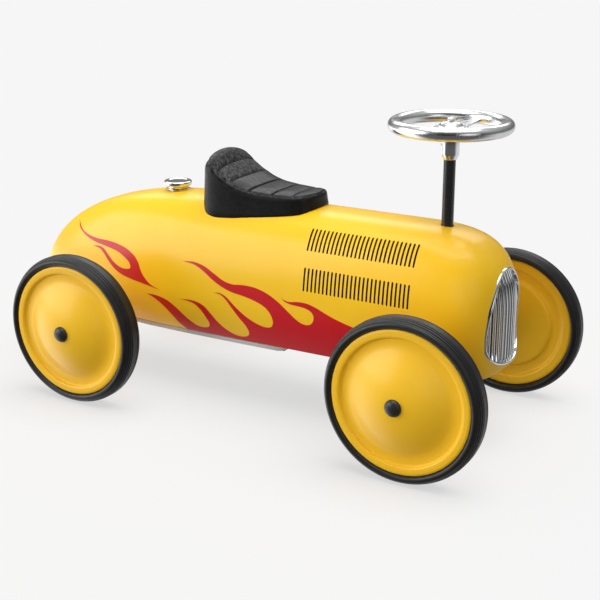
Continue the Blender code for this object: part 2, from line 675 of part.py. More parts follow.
def make_knuckle(side, s):
    """Barrel on the kingpin with the stub axle outwards and the steering arm backwards."""
    x, z = FRONT_AXLE_X, AXLE_Z
    place = Vector((x, s * KINGPIN_Y, z))
    barrel = turned(f"knuckle_{side}", [(0, 0.0122), (0.0082, 0.0122), (0.0082, -0.0122),
                                        (0, -0.0122)], BLACK_STEEL, 16)
    barrel.location = place
    inboard = 0.0030
    length = AXLE_END_Y - KINGPIN_Y
    shoulder = TRACK_HALF - 0.0168 - KINGPIN_Y
    stub = turned(f"stub_{side}", [(0, length), (STUB_RADIUS, length), (STUB_RADIUS, shoulder),
                                   (0.0080, shoulder), (0.0080, inboard), (0, inboard)],
                  None, 16, CUTTERS)
    stub.location = place
    stub.rotation_euler = (-s * math.pi / 2, 0, 0)
    arm = plate(f"knuckle_arm_{side}", arm_outline(CRANK, 0.0070, 0.0062), PLATE, None, CUTTERS)
    arm.location = (x, s * KINGPIN_Y, ARM_Z)
    pin_hole = cutter_rod(f"arm_hole_{side}", 0.0036, 0.02, (x - CRANK, s * KINGPIN_Y, 0.088), steps=16)
    king_hole = cutter_rod(f"barrel_hole_{side}", 0.0041, 0.04, (x, s * KINGPIN_Y, 0.08), steps=16)
    join(barrel, stub, arm)
    cut(barrel, pin_hole, king_hole)
    pin = turned(f"kingpin_{side}", [(0, 0.0206), (0.0050, 0.0204), (0.0066, 0.0183),
                                     (0.0038, 0.0183), (0.0038, -0.0200), (0.0030, -0.0210),
                                     (0, -0.0210)], GREY_STEEL, 16)
    pin.location = place


def make_rear_axle():
    axle = rod("rear_axle", STUB_RADIUS, 2 * AXLE_END_Y, GREY_STEEL, 20)
    axle.location = (REAR_AXLE_X, -AXLE_END_Y, AXLE_Z)
    axle.rotation_euler = (-math.pi / 2, 0, 0)
    for side, s in (("right", -1), ("left", 1)):
        near, far = sorted((s * (CHANNEL_HALF_WIDTH + GAP), s * (CHANNEL_HALF_WIDTH + 0.0040)))
        ear = box(f"axle_bracket_{side}", (REAR_AXLE_X - 0.012, near, AXLE_Z - 0.0070),
                  (REAR_AXLE_X + 0.012, far, CHANNEL_FLOOR_Z + 0.0150), GREY_STEEL)
        cut(ear, cutter_rod(f"ear_hole_{side}", STUB_RADIUS + GAP, 0.02,
                            (REAR_AXLE_X, s * (CHANNEL_HALF_WIDTH + 0.002) - 0.01, AXLE_Z), "Y"))
        tube_length = 0.1455 - (CHANNEL_HALF_WIDTH + 0.0045)
        tube = turned(f"axle_spacer_{side}", tube_profile(STUB_RADIUS + GAP, 0.0070, tube_length),
                      NYLON, 16)
        start = s * (CHANNEL_HALF_WIDTH + 0.0045)
        tube.location = (REAR_AXLE_X, start, AXLE_Z)
        tube.rotation_euler = (-s * math.pi / 2, 0, 0)


# Wheels -----------------------------------------------------------------------------------
def tyre_profile():
    """Round-shouldered tyre that sits between the two rim lips. +height is outboard."""
    half, edge = TYRE_HALF_WIDTH, RIM_EDGE_RADIUS
    outer = [(0.0845, 0.0062), (edge + 0.0006, 0.0092), (0.0905, half),
             (0.0965, half - 0.0020), (WHEEL_RADIUS, 0.0055)]
    return outer + [(r, -h) for r, h in reversed(outer)]


def disc_outer_profile():
    """Outer pressing: hub boss, dome, step, lip and half of the tyre's seat."""
    return [(SLEEVE_RADIUS + GAP, 0.0248), (0.0360, 0.0202), (0.0735, 0.0062), (0.0765, 0.0108),
            (0.0862, 0.0112), (RIM_EDGE_RADIUS, 0.0092), (0.0838, 0.0070), (0.0838, GAP / 2),
            (0.0822, GAP / 2), (0.0822, 0.0066), (0.0740, 0.0040), (0.0350, 0.0184),
            (SLEEVE_RADIUS + GAP, 0.0230)]


def disc_inner_profile():
    """Inner pressing: lip, step and a flat centre that stays behind the outer one."""
    return [(SLEEVE_RADIUS + GAP, -0.0120), (0.0650, -0.0040), (0.0740, -0.0076), (0.0822, -0.0066),
            (0.0822, -GAP / 2), (0.0838, -GAP / 2), (0.0838, -0.0070), (RIM_EDGE_RADIUS, -0.0092),
            (0.0862, -0.0112), (0.0740, -0.0096), (0.0655, -0.0058), (SLEEVE_RADIUS + GAP, -0.0138)]


def make_wheel(corner, x, s):
    turn = (-s * math.pi / 2, 0, 0)
    place = (x, s * TRACK_HALF, AXLE_Z)
    pieces = [
        turned(f"tyre_{corner}", tyre_profile(), RUBBER, WHEEL_STEPS),
        turned(f"wheel_disc_outer_{corner}", disc_outer_profile(), YELLOW, WHEEL_STEPS),
        turned(f"wheel_disc_inner_{corner}", disc_inner_profile(), YELLOW, WHEEL_STEPS),
        turned(f"wheel_sleeve_{corner}", [(STUB_RADIUS + GAP, 0.0252), (SLEEVE_RADIUS, 0.0252),
                                          (SLEEVE_RADIUS, -0.0165), (STUB_RADIUS + GAP, -0.0165)],
               NYLON, 16),
        turned(f"hub_cap_{corner}", hub_cap_profile(), BLACK_PLASTIC, 16),
    ]
    for piece in pieces:
        piece.location = place
        piece.rotation_euler = turn


def hub_cap_profile():
    """Push-on dome whose socket grips the end of the axle."""
    return [(0, 0.0318), (0.0048, 0.0311), (0.0088, 0.0290), (0.0104, 0.0256),
            (STUB_RADIUS + GAP, 0.0256), (STUB_RADIUS + GAP, 0.0266), (0, 0.0266)]


def main():
    clear_scene()
    new_collection(COLLECTION)
    new_collection(CUTTERS)
    make_body()
    make_floor()
    make_channel()
    make_filler()
    make_grille()
    make_seat()
    make_column()
    make_hand_wheel()
    make_bushes()
    make_linkage()
    make_front_axle()
    make_rear_axle()
    make_fasteners()
    for side, s in (("right", -1), ("left", 1)):
        make_knuckle(side, s)
        make_wheel(f"front_{side}", FRONT_AXLE_X, s)
        make_wheel(f"rear_{side}", REAR_AXLE_X, s)


main()
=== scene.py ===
"""Looks of the ride-on racer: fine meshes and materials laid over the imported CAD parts."""
import math

import bmesh
import bpy
import numpy as np
from mathutils import Matrix, Vector
from mathutils.geometry import delaunay_2d_cdt


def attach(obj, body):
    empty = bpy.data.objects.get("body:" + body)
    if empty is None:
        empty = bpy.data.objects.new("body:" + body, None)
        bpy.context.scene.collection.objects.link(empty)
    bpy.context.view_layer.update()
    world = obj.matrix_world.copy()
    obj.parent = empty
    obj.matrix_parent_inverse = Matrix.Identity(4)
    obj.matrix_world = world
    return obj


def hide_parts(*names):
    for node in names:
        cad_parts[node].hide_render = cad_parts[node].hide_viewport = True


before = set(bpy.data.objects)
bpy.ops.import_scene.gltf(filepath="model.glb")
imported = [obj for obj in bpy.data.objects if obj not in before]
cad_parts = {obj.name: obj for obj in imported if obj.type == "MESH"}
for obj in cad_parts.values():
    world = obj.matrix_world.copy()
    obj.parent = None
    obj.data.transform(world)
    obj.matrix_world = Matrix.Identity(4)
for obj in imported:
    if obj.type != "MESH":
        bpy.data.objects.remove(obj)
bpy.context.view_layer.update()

# Layout: the same driving sizes as the CAD part, in metres
WHEEL_RADIUS = 0.100
FRONT_AXLE_X = 0.2815
REAR_AXLE_X = -0.2011
TRACK_HALF = 0.164
AXLE_Z = WHEEL_RADIUS
COLUMN_X = 0.256
TAIL_X = -0.3815
NOSE_X = 0.3452
NOSE_HEIGHT_X = 0.3520
NOSE_FLOOR_X = 0.3521
BODY_HALF_WIDTH = 0.0723
BODY_TOP_Z = 0.2665
BODY_BOTTOM_Z = 0.0927
BODY_WIDEST_Z = 0.1474
NOSE_MIDDLE_Z = 0.1278
NOSE_ARC_RADIUS = 0.090
SECTION_POWER = 2.72
BELLY_TUCK = 0.134
SHEET = 0.0016
FILLER_X = -0.1443
RING_Z = 0.3871
RING_RADIUS = 0.0668
RING_TUBE = 0.0081
COLUMN_RADIUS = 0.0073
COLLAR_RADIUS = 0.0110
COLLAR_BOTTOM_Z = 0.3463
COLLAR_SCREW_Z = 0.3640
HUB_BOTTOM_Z = 0.3765

CORNERS = [("front_left", FRONT_AXLE_X, 1), ("front_right", FRONT_AXLE_X, -1),
           ("rear_left", REAR_AXLE_X, 1), ("rear_right", REAR_AXLE_X, -1)]


# Materials
def new_material(name, colour, roughness, **settings):
    made = bpy.data.materials.new(name)
    made.use_nodes = True
    shader = made.node_tree.nodes["Principled BSDF"]
    shader.inputs["Base Color"].default_value = (*colour, 1.0)
    shader.inputs["Roughness"].default_value = roughness
    for socket, value in settings.items():
        shader.inputs[socket.replace("_", " ")].default_value = value
    return made


def add_node(owner, kind, **settings):
    node = owner.node_tree.nodes.new(kind)
    for key, value in settings.items():
        setattr(node, key, value)
    return node


def wire(owner, source, target):
    owner.node_tree.links.new(source, target)


def coordinates(owner):
    return add_node(owner, "ShaderNodeTexCoord").outputs["Object"]


def noise_field(material, scale, detail=4.0, roughness=0.55, stretch=None):
    """Cloudy values from 0 to 1, with scale in cycles per metre."""
    field = add_node(material, "ShaderNodeTexNoise")
    field.inputs["Scale"].default_value = scale
    field.inputs["Detail"].default_value = detail
    field.inputs["Roughness"].default_value = roughness
    source = coordinates(material)
    if stretch:
        mapping = add_node(material, "ShaderNodeMapping")
        mapping.inputs["Scale"].default_value = stretch
        wire(material, source, mapping.inputs["Vector"])
        source = mapping.outputs["Vector"]
    wire(material, source, field.inputs["Vector"])
    return field.outputs["Fac"]


def ramp(owner, value, low, high, start=0.0, end=1.0):
    """Maps start..end of a value to low..high, clamped."""
    node = add_node(owner, "ShaderNodeMapRange")
    node.inputs["From Min"].default_value = start
    node.inputs["From Max"].default_value = end
    node.inputs["To Min"].default_value = low
    node.inputs["To Max"].default_value = high
    wire(owner, value, node.inputs["Value"])
    return node.outputs["Result"]


def colour_mix(material, factor, first, second):
    node = add_node(material, "ShaderNodeMix", data_type="RGBA")
    wire(material, factor, node.inputs["Factor"])
    for socket, value in (("A", first), ("B", second)):
        target = [s for s in node.inputs if s.name == socket and s.type == "RGBA"][0]
        if isinstance(value, tuple):
            target.default_value = (*value, 1.0)
        else:
            wire(material, value, target)
    return [s for s in node.outputs if s.type == "RGBA"][0]


def set_input(material, name, value):
    wire(material, value, material.node_tree.nodes["Principled BSDF"].inputs[name])


def roughen(material, low, high, field, start=0.3, end=0.7):
    """Roughness from low to high, as a field goes from start to end."""
    set_input(material, "Roughness", ramp(material, field, low, high, start, end))


def add_bump(material, heights, distance):
    """Stacks bumps, each (height, strength), on the shader's normal."""
    normal = None
    for height, strength in heights:
        node = add_node(material, "ShaderNodeBump")
        node.inputs["Strength"].default_value = strength
        node.inputs["Distance"].default_value = distance
        wire(material, height, node.inputs["Height"])
        if normal:
            wire(material, normal, node.inputs["Normal"])
        normal = node.outputs["Normal"]
    set_input(material, "Normal", normal)


def enamel(name, colour, shade, roughness, coat=0.16):
    """Sprayed gloss paint: faint tone drift, orange peel, handling smears and worn edges."""
    made = new_material(name, colour, roughness, Coat_Weight=coat, Coat_Roughness=0.16,
                        Specular_IOR_Level=0.34)
    drift = ramp(made, noise_field(made, 7.0, 3.0), 0.0, 1.0, 0.35, 0.7)
    tone = colour_mix(made, drift, colour, shade)
    grime = ramp(made, noise_field(made, 45.0, 8.0, 0.7), 0.0, 0.10, 0.55, 0.8)
    dusty = tuple(c * 0.72 + 0.03 for c in colour)
    tone = colour_mix(made, grime, tone, dusty)
    sharpness = add_node(made, "ShaderNodeNewGeometry").outputs["Pointiness"]
    worn = ramp(made, sharpness, 0.0, 0.30, 0.56, 0.68)
    pale = tuple(min(1.0, c * 1.05 + 0.06) for c in colour)
    tone = colour_mix(made, worn, tone, pale)
    set_input(made, "Base Color", tone)
    roughen(made, roughness - 0.035, roughness + 0.05, noise_field(made, 28.0, 6.0, 0.6), 0.35)
    add_bump(made, [(noise_field(made, 420.0, 2.0), 0.035), (noise_field(made, 60.0, 2.0), 0.02)], 0.0008)
    return made


def metal(name, colour, roughness, cast=0.0, brushed=None, grain=500.0):
    made = new_material(name, colour, roughness, Metallic=1.0)
    roughen(made, roughness * 0.75, roughness * 1.6, noise_field(made, 60.0, 6.0, 0.65), end=0.75)
    drift = ramp(made, noise_field(made, 18.0, 4.0), 0.0, 1.0, 0.35, 0.7)
    set_input(made, "Base Color", colour_mix(made, drift, colour, tuple(c * 0.9 for c in colour)))
    heights = [(noise_field(made, grain, 3.0), 0.02 + cast)]
    if brushed:
        heights.append((noise_field(made, 300.0, 4.0, 0.7, brushed), 0.10))
    add_bump(made, heights, 0.0006)
    return made


def plastic(name, colour, roughness):
    made = new_material(name, colour, roughness)
    drift = ramp(made, noise_field(made, 90.0, 5.0), 0.0, 1.0, 0.3, 0.75)
    set_input(made, "Base Color", colour_mix(made, drift, colour, tuple(c * 1.25 + 0.004 for c in colour)))
    roughen(made, roughness - 0.06, roughness + 0.08, noise_field(made, 150.0, 5.0))
    add_bump(made, [(noise_field(made, 1500.0, 2.0), 0.10)], 0.0003)
    return made


def rubber():
    made = new_material("tyre_rubber", (0.010, 0.010, 0.0102), 0.45, Specular_IOR_Level=0.42)
    mould = noise_field(made, 70.0, 6.0, 0.65)
    dust = ramp(made, mould, 0.0, 0.55, 0.45, 0.85)
    set_input(made, "Base Color", colour_mix(made, dust, (0.0105, 0.0105, 0.0108), (0.020, 0.0197, 0.0195)))
    roughen(made, 0.32, 0.50, noise_field(made, 220.0, 5.0), end=0.75)
    add_bump(made, [(noise_field(made, 1400.0, 3.0), 0.14), (mould, 0.05)], 0.0004)
    return made


def leather(name, grain_strength, pale, roughness):
    """Leathercloth: pebbled cells with fine creases between them."""
    base = (0.0045, 0.0045, 0.0047)
    made = new_material(name, base, roughness, Specular_IOR_Level=0.26)
    cells = add_node(made, "ShaderNodeTexVoronoi")
    cells.inputs["Scale"].default_value = 620.0
    wire(made, coordinates(made), cells.inputs["Vector"])
    pebble = ramp(made, cells.outputs["Distance"], 1.0, 0.0, 0.1, 0.75)
    creases = noise_field(made, 170.0, 7.0, 0.72)
    rub = ramp(made, noise_field(made, 230.0, 8.0, 0.7), 0.0, 1.0, 0.42, 0.62)
    set_input(made, "Base Color", colour_mix(made, rub, base, pale))
    roughen(made, roughness - 0.06, roughness + 0.08, noise_field(made, 240.0, 5.0))
    add_bump(made, [(pebble, grain_strength), (creases, grain_strength * 1.2)], 0.0007)
    return made


YELLOW = (0.94, 0.56, 0.014)
MATERIALS = {
    "body": enamel("body_enamel", YELLOW, (0.92, 0.53, 0.012), 0.34),
    "wheel": enamel("wheel_enamel", (0.93, 0.54, 0.018), (0.91, 0.51, 0.015), 0.38),
    "red": enamel("flame_enamel", (0.56, 0.006, 0.012), (0.52, 0.005, 0.011), 0.34),
    # Dark inside finish: painted shade, so that the inside of the body and the slots read black.
    "painted_shade_black": enamel("inner_painted_shade", (0.010, 0.010, 0.010), (0.014, 0.014, 0.014), 0.6, coat=0.0),
    "rubber": rubber(),
    "leather": leather("seat_leather", 0.10, (0.008, 0.008, 0.0082), 0.36),
    "leather_coarse": leather("seat_leather_coarse", 0.85, (0.095, 0.095, 0.0965), 0.46),
    "chrome": metal("chrome", (0.86, 0.87, 0.88), 0.10),
    "cast_chrome": metal("cast_chrome", (0.84, 0.845, 0.85), 0.20, cast=0.16, grain=700.0),
    "black_steel": enamel("black_steel", (0.014, 0.014, 0.015), (0.019, 0.018, 0.018), 0.26, coat=0.35),
    "zinc": metal("zinc_steel", (0.60, 0.60, 0.59), 0.32, brushed=(1.0, 12.0, 12.0)),
    "nylon": plastic("nylon", (0.66, 0.65, 0.61), 0.5),
    "black_plastic": plastic("black_plastic", (0.014, 0.014, 0.015), 0.36),
    "pan": enamel("pan_paint", (0.62, 0.62, 0.61), (0.56, 0.56, 0.55), 0.42, coat=0.1),
}


# Mesh helpers
def add_object(name, data, *looks):
    made = bpy.data.objects.new(name, data)
    bpy.context.scene.collection.objects.link(made)
    for look in looks:
        made.data.materials.append(MATERIALS[look])
    return made


def finish_mesh(work, name, angle=None):
    """Mesh data from a bmesh, smooth up to an angle in degrees, or flat."""
    bmesh.ops.recalc_face_normals(work, faces=work.faces)
    mesh = bpy.data.meshes.new(name)
    work.to_mesh(mesh)
    work.free()
    if angle:
        mesh.shade_smooth()
        mesh.set_sharp_from_angle(angle=math.radians(angle))
    return mesh


def band(work, a, b):
    """Quads between two rings with the same number of vertices."""
    for k in range(len(a)):
        j = (k + 1) % len(a)
        work.faces.new((a[k], a[j], b[j], b[k]))


def prism(work, near, far):
    """A closed solid between two matching rings of points."""
    a, b = ([work.verts.new(p) for p in ring] for ring in (near, far))
    work.faces.new(a)
    work.faces.new(list(reversed(b)))
    band(work, a, b)


def fillet(points, radius, steps=4):
    """Rounds the inner corners of an open chain; radius is one number or one for each point."""
    radii = radius if isinstance(radius, (list, tuple)) else [radius] * len(points)
    out = [points[0]]
    for before, here, after, r in zip(points, points[1:], points[2:], radii[1:]):
        a, b, c = Vector(before), Vector(here), Vector(after)
        reach = min(r, (a - b).length * 0.45, (c - b).length * 0.45)
        start, end = b + (a - b).normalized() * reach, b + (c - b).normalized() * reach
        for k in range(steps + 1):
            t = k / steps
            out.append(tuple(start * (1 - t) ** 2 + b * 2 * t * (1 - t) + end * t * t))
    out.append(points[-1])
    return out


def smooth_chain(points, per=8):
    """A smooth curve through a chain of points, as a list of points."""
    out = []
    for i in range(len(points) - 1):
        p1, p2 = Vector(points[i]), Vector(points[i + 1])
        p0 = Vector(points[i - 1]) if i else p1 * 2 - p2
        p3 = Vector(points[i + 2]) if i + 2 < len(points) else p2 * 2 - p1
        d1, d2, d3 = (max((b - a).length, 1e-6) ** 0.5 for a, b in ((p0, p1), (p1, p2), (p2, p3)))
        m1 = ((p1 - p0) / d1 - (p2 - p0) / (d1 + d2) + (p2 - p1) / d2) * d2
        m2 = ((p2 - p1) / d2 - (p3 - p1) / (d2 + d3) + (p3 - p2) / d3) * d2
        for k in range(per):
            t = k / per
            out.append((p1 * (2 * t ** 3 - 3 * t ** 2 + 1) + m1 * (t ** 3 - 2 * t ** 2 + t)
                        + p2 * (3 * t ** 2 - 2 * t ** 3) + m2 * (t ** 3 - t ** 2)))
    out.append(Vector(points[-1]))
    return [tuple(p) for p in out]


def turned(name, profile, look, steps=96, angle=40.0):
    """Turns (radius, height) points about +Z. A chain that leaves the axis is closed on itself."""
    work = bmesh.new()
    rings = []
    for r, h in profile:
        if r < 1e-6:
            rings.append([work.verts.new((0, 0, h))])
            continue
        rings.append([work.verts.new((r * math.cos(2 * math.pi * k / steps),
                                      r * math.sin(2 * math.pi * k / steps), h)) for k in range(steps)])
    pairs = list(zip(rings, rings[1:]))
    if profile[0][0] > 1e-6:
        pairs.append((rings[-1], rings[0]))
    for a, b in pairs:
        if len(a) == len(b):
            band(work, a, b)
            continue
        for k in range(steps):
            j = (k + 1) % steps
            work.faces.new((a[0], b[j], b[k]) if len(a) == 1 else (a[k], a[j], b[0]))
    return add_object(name, finish_mesh(work, name, angle), look)


def place(made, location, rotation=(0, 0, 0)):
    made.location = location
    made.rotation_euler = rotation
    return made


def seat_on(made, body, slot_name, *nodes):
    """Rides on a body and stands for CAD nodes, if there are any. The slot name is not used."""
    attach(made, body)
    if nodes:
        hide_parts(*nodes)


def fit_turned(name, profile, look, steps, spot, body, slot_name, *nodes, turn=(0, 0, 0), angle=40.0):
    """A turned piece, set in its place and seated on a body."""
    seat_on(place(turned(name, profile, look, steps, angle), spot, turn), body, slot_name, *nodes)


def box_cutter(name, low, high):
    work = bmesh.new()
    bmesh.ops.create_cube(work, size=1.0)
    size = Vector(high) - Vector(low)
    middle = (Vector(high) + Vector(low)) / 2
    work.transform(Matrix.Translation(middle) @ Matrix.Diagonal((*size, 1.0)))
    return add_object(name, finish_mesh(work, name), "body")


def apply_modifiers(made):
    graph = bpy.context.evaluated_depsgraph_get()
    mesh = bpy.data.meshes.new_from_object(made.evaluated_get(graph))
    made.modifiers.clear()
    made.data = mesh


def thicken(made, thickness, inside_material=0):
    """Gives a sheet its thickness on the inner side."""
    wall = made.modifiers.new("wall", "SOLIDIFY")
    wall.thickness = thickness
    wall.offset = -1.0
    wall.material_offset = inside_material
    apply_modifiers(made)


def carve(made, tool, operation="DIFFERENCE"):
    """Cuts or joins with a tool object, which is used up."""
    step = made.modifiers.new("carve", "BOOLEAN")
    step.operation = operation
    step.solver = "EXACT"
    step.object = tool
    bpy.context.view_layer.update()
    apply_modifiers(made)
    bpy.data.objects.remove(tool, do_unlink=True)


def resmooth(made, angle):
    made.data.shade_smooth()
    made.data.set_sharp_from_angle(angle=math.radians(angle))


def distances(spots, ring):
    """Distance of each (x, y) spot to a closed ring."""
    spots = np.array(spots, float)
    best = np.full(len(spots), 1.0)
    corners = np.array([tuple(p) for p in ring], float)
    for a, b in zip(corners, np.roll(corners, -1, axis=0)):
        along = b - a
        t = np.clip((spots - a) @ along / max(along @ along, 1e-12), 0.0, 1.0)
        best = np.minimum(best, np.linalg.norm(spots - a - t[:, None] * along, axis=1))
    return best


# Body surface
def share(x, start, end):
    return min(max((x - start) / (end - start), 0.0), 1.0)


def body_sizes(x):
    """Half width, crown height, widest height and belly height of the body at x."""
    tail = share(x, -0.0464, TAIL_X)
    tail_width = (1 - tail ** 2.31) ** 0.46
    tail_height = (1 - tail ** 2.64) ** 0.5
    nose_width = (1 - share(x, 0.2002, NOSE_X) ** 7) ** 0.6
    nose_height = (1 - share(x, 0.2002, NOSE_HEIGHT_X) ** 4) ** 0.42
    nose_belly = (1 - share(x, 0.2586, NOSE_FLOOR_X) ** 8.26) ** 0.561
    widening = 0.9954 + 0.1135 * max(x, -0.26)
    half = BODY_HALF_WIDTH * tail_width * nose_width * widening
    if x < 0.1:
        crown = BODY_BOTTOM_Z + (BODY_TOP_Z - BODY_BOTTOM_Z) * tail_height
        widest = BODY_BOTTOM_Z + (BODY_WIDEST_Z - BODY_BOTTOM_Z) * tail_height
        return half, crown, widest, BODY_BOTTOM_Z
    crown = NOSE_MIDDLE_Z + (BODY_TOP_Z - NOSE_MIDDLE_Z) * nose_height
    widest = BODY_WIDEST_Z + (NOSE_MIDDLE_Z - BODY_WIDEST_Z) * (1 - nose_height)
    belly = NOSE_MIDDLE_Z - (NOSE_MIDDLE_Z - BODY_BOTTOM_Z) * nose_belly
    return half, crown, widest, belly


def flared(x, y, z, crown):
    return y * (1 + (0.1309 - 0.4068 * x) * (crown - z) / 0.17)


def body_half_section(x, arch_points, side_points):
    """(y, z) points from the crown down one side to the bottom edge."""
    half, crown, widest, belly = body_sizes(x)
    points = []
    for i in range(arch_points):
        a = math.pi / 2 * i / (arch_points - 1)
        points.append((half * math.sin(a) ** (2 / SECTION_POWER),
                       widest + (crown - widest) * math.cos(a) ** (2 / SECTION_POWER)))
    for i in range(1, side_points + 1):
        down = i / side_points
        points.append((half * (1 - BELLY_TUCK * down ** 2), widest + (belly - widest) * down))
    return [(flared(x, y, z, crown), z) for y, z in points]


def skin_y(x, z):
    """Half width of the skin at the height z of the section at x."""
    half, crown, widest, belly = body_sizes(x)
    if z >= widest:
        lift = min(1.0, (z - widest) / max(crown - widest, 1e-6))
        y = half * (1 - lift ** SECTION_POWER) ** (1 / SECTION_POWER)
    else:
        y = half * (1 - BELLY_TUCK * ((z - widest) / (belly - widest)) ** 2)
    return flared(x, y, z, crown)


def skin_normal(x, z):
    step = 0.0004
    along = Vector((2 * step, skin_y(x + step, z) - skin_y(x - step, z), 0))
    up = Vector((0, skin_y(x, z + step) - skin_y(x, z - step), 2 * step))
    return up.cross(along).normalized()


def skin_height(x, y):
    """Height of the skin above the point (x, y)."""
    points = body_half_section(x, 61, 4)
    for (y0, z0), (y1, z1) in zip(points, points[1:]):
        if y0 <= abs(y) <= y1:
            return z0 + (z1 - z0) * (abs(y) - y0) / max(y1 - y0, 1e-9)
    return points[-1][1]


# Body
BODY_STATIONS = 200
FLANGE = 0.0085                   # inward lip along the bottom edge
OPENING = (-0.338, 0.300)         # reach of the open underside along X


def body_section(x):
    """Skin points from the right flange over the crown to the left flange."""
    half = body_half_section(x, 34, 9)
    edge_y, edge_z = half[-1]
    start = share(x, OPENING[0], OPENING[0] + 0.02)
    end = share(x, OPENING[1], OPENING[1] - 0.02)
    opened = min(start, end)
    opened = opened * opened * (3 - 2 * opened)
    lip = max(0.0, edge_y - FLANGE) * opened
    round_off = min(0.0022, edge_y * 0.3)
    side = half[:-1] + fillet([half[-2], (edge_y, edge_z), (lip, edge_z)], round_off, 3)[1:-1]
    side += [(lip + (side[-1][0] - lip) * (1 - k / 4), edge_z) for k in range(1, 5)]
    right = [(x, -y, z) for y, z in reversed(side)]
    left = [(x, y, z) for y, z in side[1:]]
    return right + left


def body_skin():
    work = bmesh.new()
    middle, reach = (TAIL_X + NOSE_X) / 2, (NOSE_X - TAIL_X) / 2
    rings = []
    for i in range(BODY_STATIONS + 1):
        x = middle - reach * math.cos(math.pi * i / BODY_STATIONS)
        x = min(max(x, TAIL_X + 1e-6), NOSE_X - 1e-6)
        rings.append([work.verts.new(p) for p in body_section(x)])
    for a, b in zip(rings, rings[1:]):
        for k in range(len(a) - 1):
            work.faces.new((a[k], b[k], b[k + 1], a[k + 1]))
    bmesh.ops.remove_doubles(work, verts=work.verts, dist=0.00006)
    bmesh.ops.dissolve_degenerate(work, edges=work.edges, dist=0.00003)
    return add_object("body_shell_skin", finish_mesh(work, "body_shell_skin", 180), "body", "painted_shade_black")


SLOT_COLUMNS = 27
SLOT_WIDTH = 0.0024
SLOT_ROWS = [(0.2258, 0.2508, 0.0975, 0.2425), (0.1765, 0.2060, 0.0985, 0.2410)]    # Z, Z, X, X


def slot_cutters():
    """Upright round-ended pins that pass through both flanks."""
    work = bmesh.new()
    r = SLOT_WIDTH / 2
    for low, high, first, last in SLOT_ROWS:
        for i in range(SLOT_COLUMNS):
            x = first + (last - first) * i / (SLOT_COLUMNS - 1)
            ring = [(x + r * math.cos(math.pi * k / 6), high - r + r * math.sin(math.pi * k / 6))
                    for k in range(7)]
            ring += [(x - r * math.cos(math.pi * k / 6), low + r - r * math.sin(math.pi * k / 6))
                     for k in range(7)]
            for side in (-1, 1):
                prism(work, *([(px, side * reach, pz) for px, pz in ring] for reach in (0.020, 0.110)))
    # The slot walls take the dark painted-shade finish.
    for face in work.faces:
        face.material_index = 1
    return add_object("slot_cutters", finish_mesh(work, "slot_cutters"), "body", "painted_shade_black")


GRILLE_OUTLINE = [
    (0.2222, 0.0), (0.2202, 0.0130), (0.2140, 0.0243), (0.1990, 0.0352), (0.1815, 0.0435),
    (0.1600, 0.0482), (0.1420, 0.0497), (0.1290, 0.0476), (0.1185, 0.0405), (0.1105, 0.0262),
    (0.1074, 0.0),
]
GRILLE_MIDDLE_Z = 0.155


def face_x(y, z):
    """Front of the nose: an arc across the grille that leans back towards its top."""
    back = 0.0108 * (max(0.0, z - 0.168) / 0.0534) ** 2.3
    return NOSE_X - NOSE_ARC_RADIUS + math.sqrt(NOSE_ARC_RADIUS ** 2 - y ** 2) - back


def grille_loop(per=6):
    """Closed smooth outline of the grille as (y, z), with the outward direction at each point."""
    right = [(-y, z) for z, y in GRILLE_OUTLINE]
    left = [(y, z) for z, y in reversed(GRILLE_OUTLINE[1:-1])]
    corners = right + left
    ring = corners[-2:] + corners + corners[:3]
    chain = smooth_chain(ring, per)[2 * per:-2 * per - 1]
    count = len(chain)
    out = []
    for i, p in enumerate(chain):
        tangent = Vector(chain[(i + 1) % count]) - Vector(chain[i - 1])
        outward = Vector((-tangent.y, tangent.x)).normalized()
        middle = Vector((p[0], p[1] - GRILLE_MIDDLE_Z))
        if outward.dot(middle) < 0:
            outward = -outward
        out.append((Vector(p), outward))
    return out


def grille_prism(name, grow, start, end):
    work = bmesh.new()
    loop = [p + n * grow for p, n in grille_loop()]
    prism(work, *([(x, p.x, p.y) for p in loop] for x in (start, end)))
    return add_object(name, finish_mesh(work, name), "body", "painted_shade_black")


def make_body():
    shell = body_skin()
    # The inner face takes the dark painted-shade finish.
    thicken(shell, SHEET, 1)
    carve(shell, grille_prism("grille_hole", -0.0012, 0.30, 0.36))
    carve(shell, box_cutter("front_notch", (0.200, -0.1, 0.08), (0.2975, 0.1, 0.1215)))
    for name, r, length, steps, spot, turn in (
            ("rear_axle_hole", 0.0085, 0.3, 32, (REAR_AXLE_X, -0.15, AXLE_Z), (-math.pi / 2, 0, 0)),
            ("column_hole", 0.0083, 0.05, 48, (COLUMN_X, 0, 0.245), (0, 0, 0)),
            ("neck_hole", 0.0125, 0.05, 48, (FILLER_X, 0, 0.24), (0, 0, 0))):
        rod = turned(name, [(0, length), (r, length), (r, 0), (0, 0)], "body", steps)
        carve(shell, place(rod, spot, turn))
    carve(shell, slot_cutters())
    resmooth(shell, 38)
    seat_on(shell, "chassis", "body", "body_shell")


SHADE_SHEET_DEPTH = 0.0052              # below the outer skin
SHADE_SHEET_THICKNESS = 0.0008


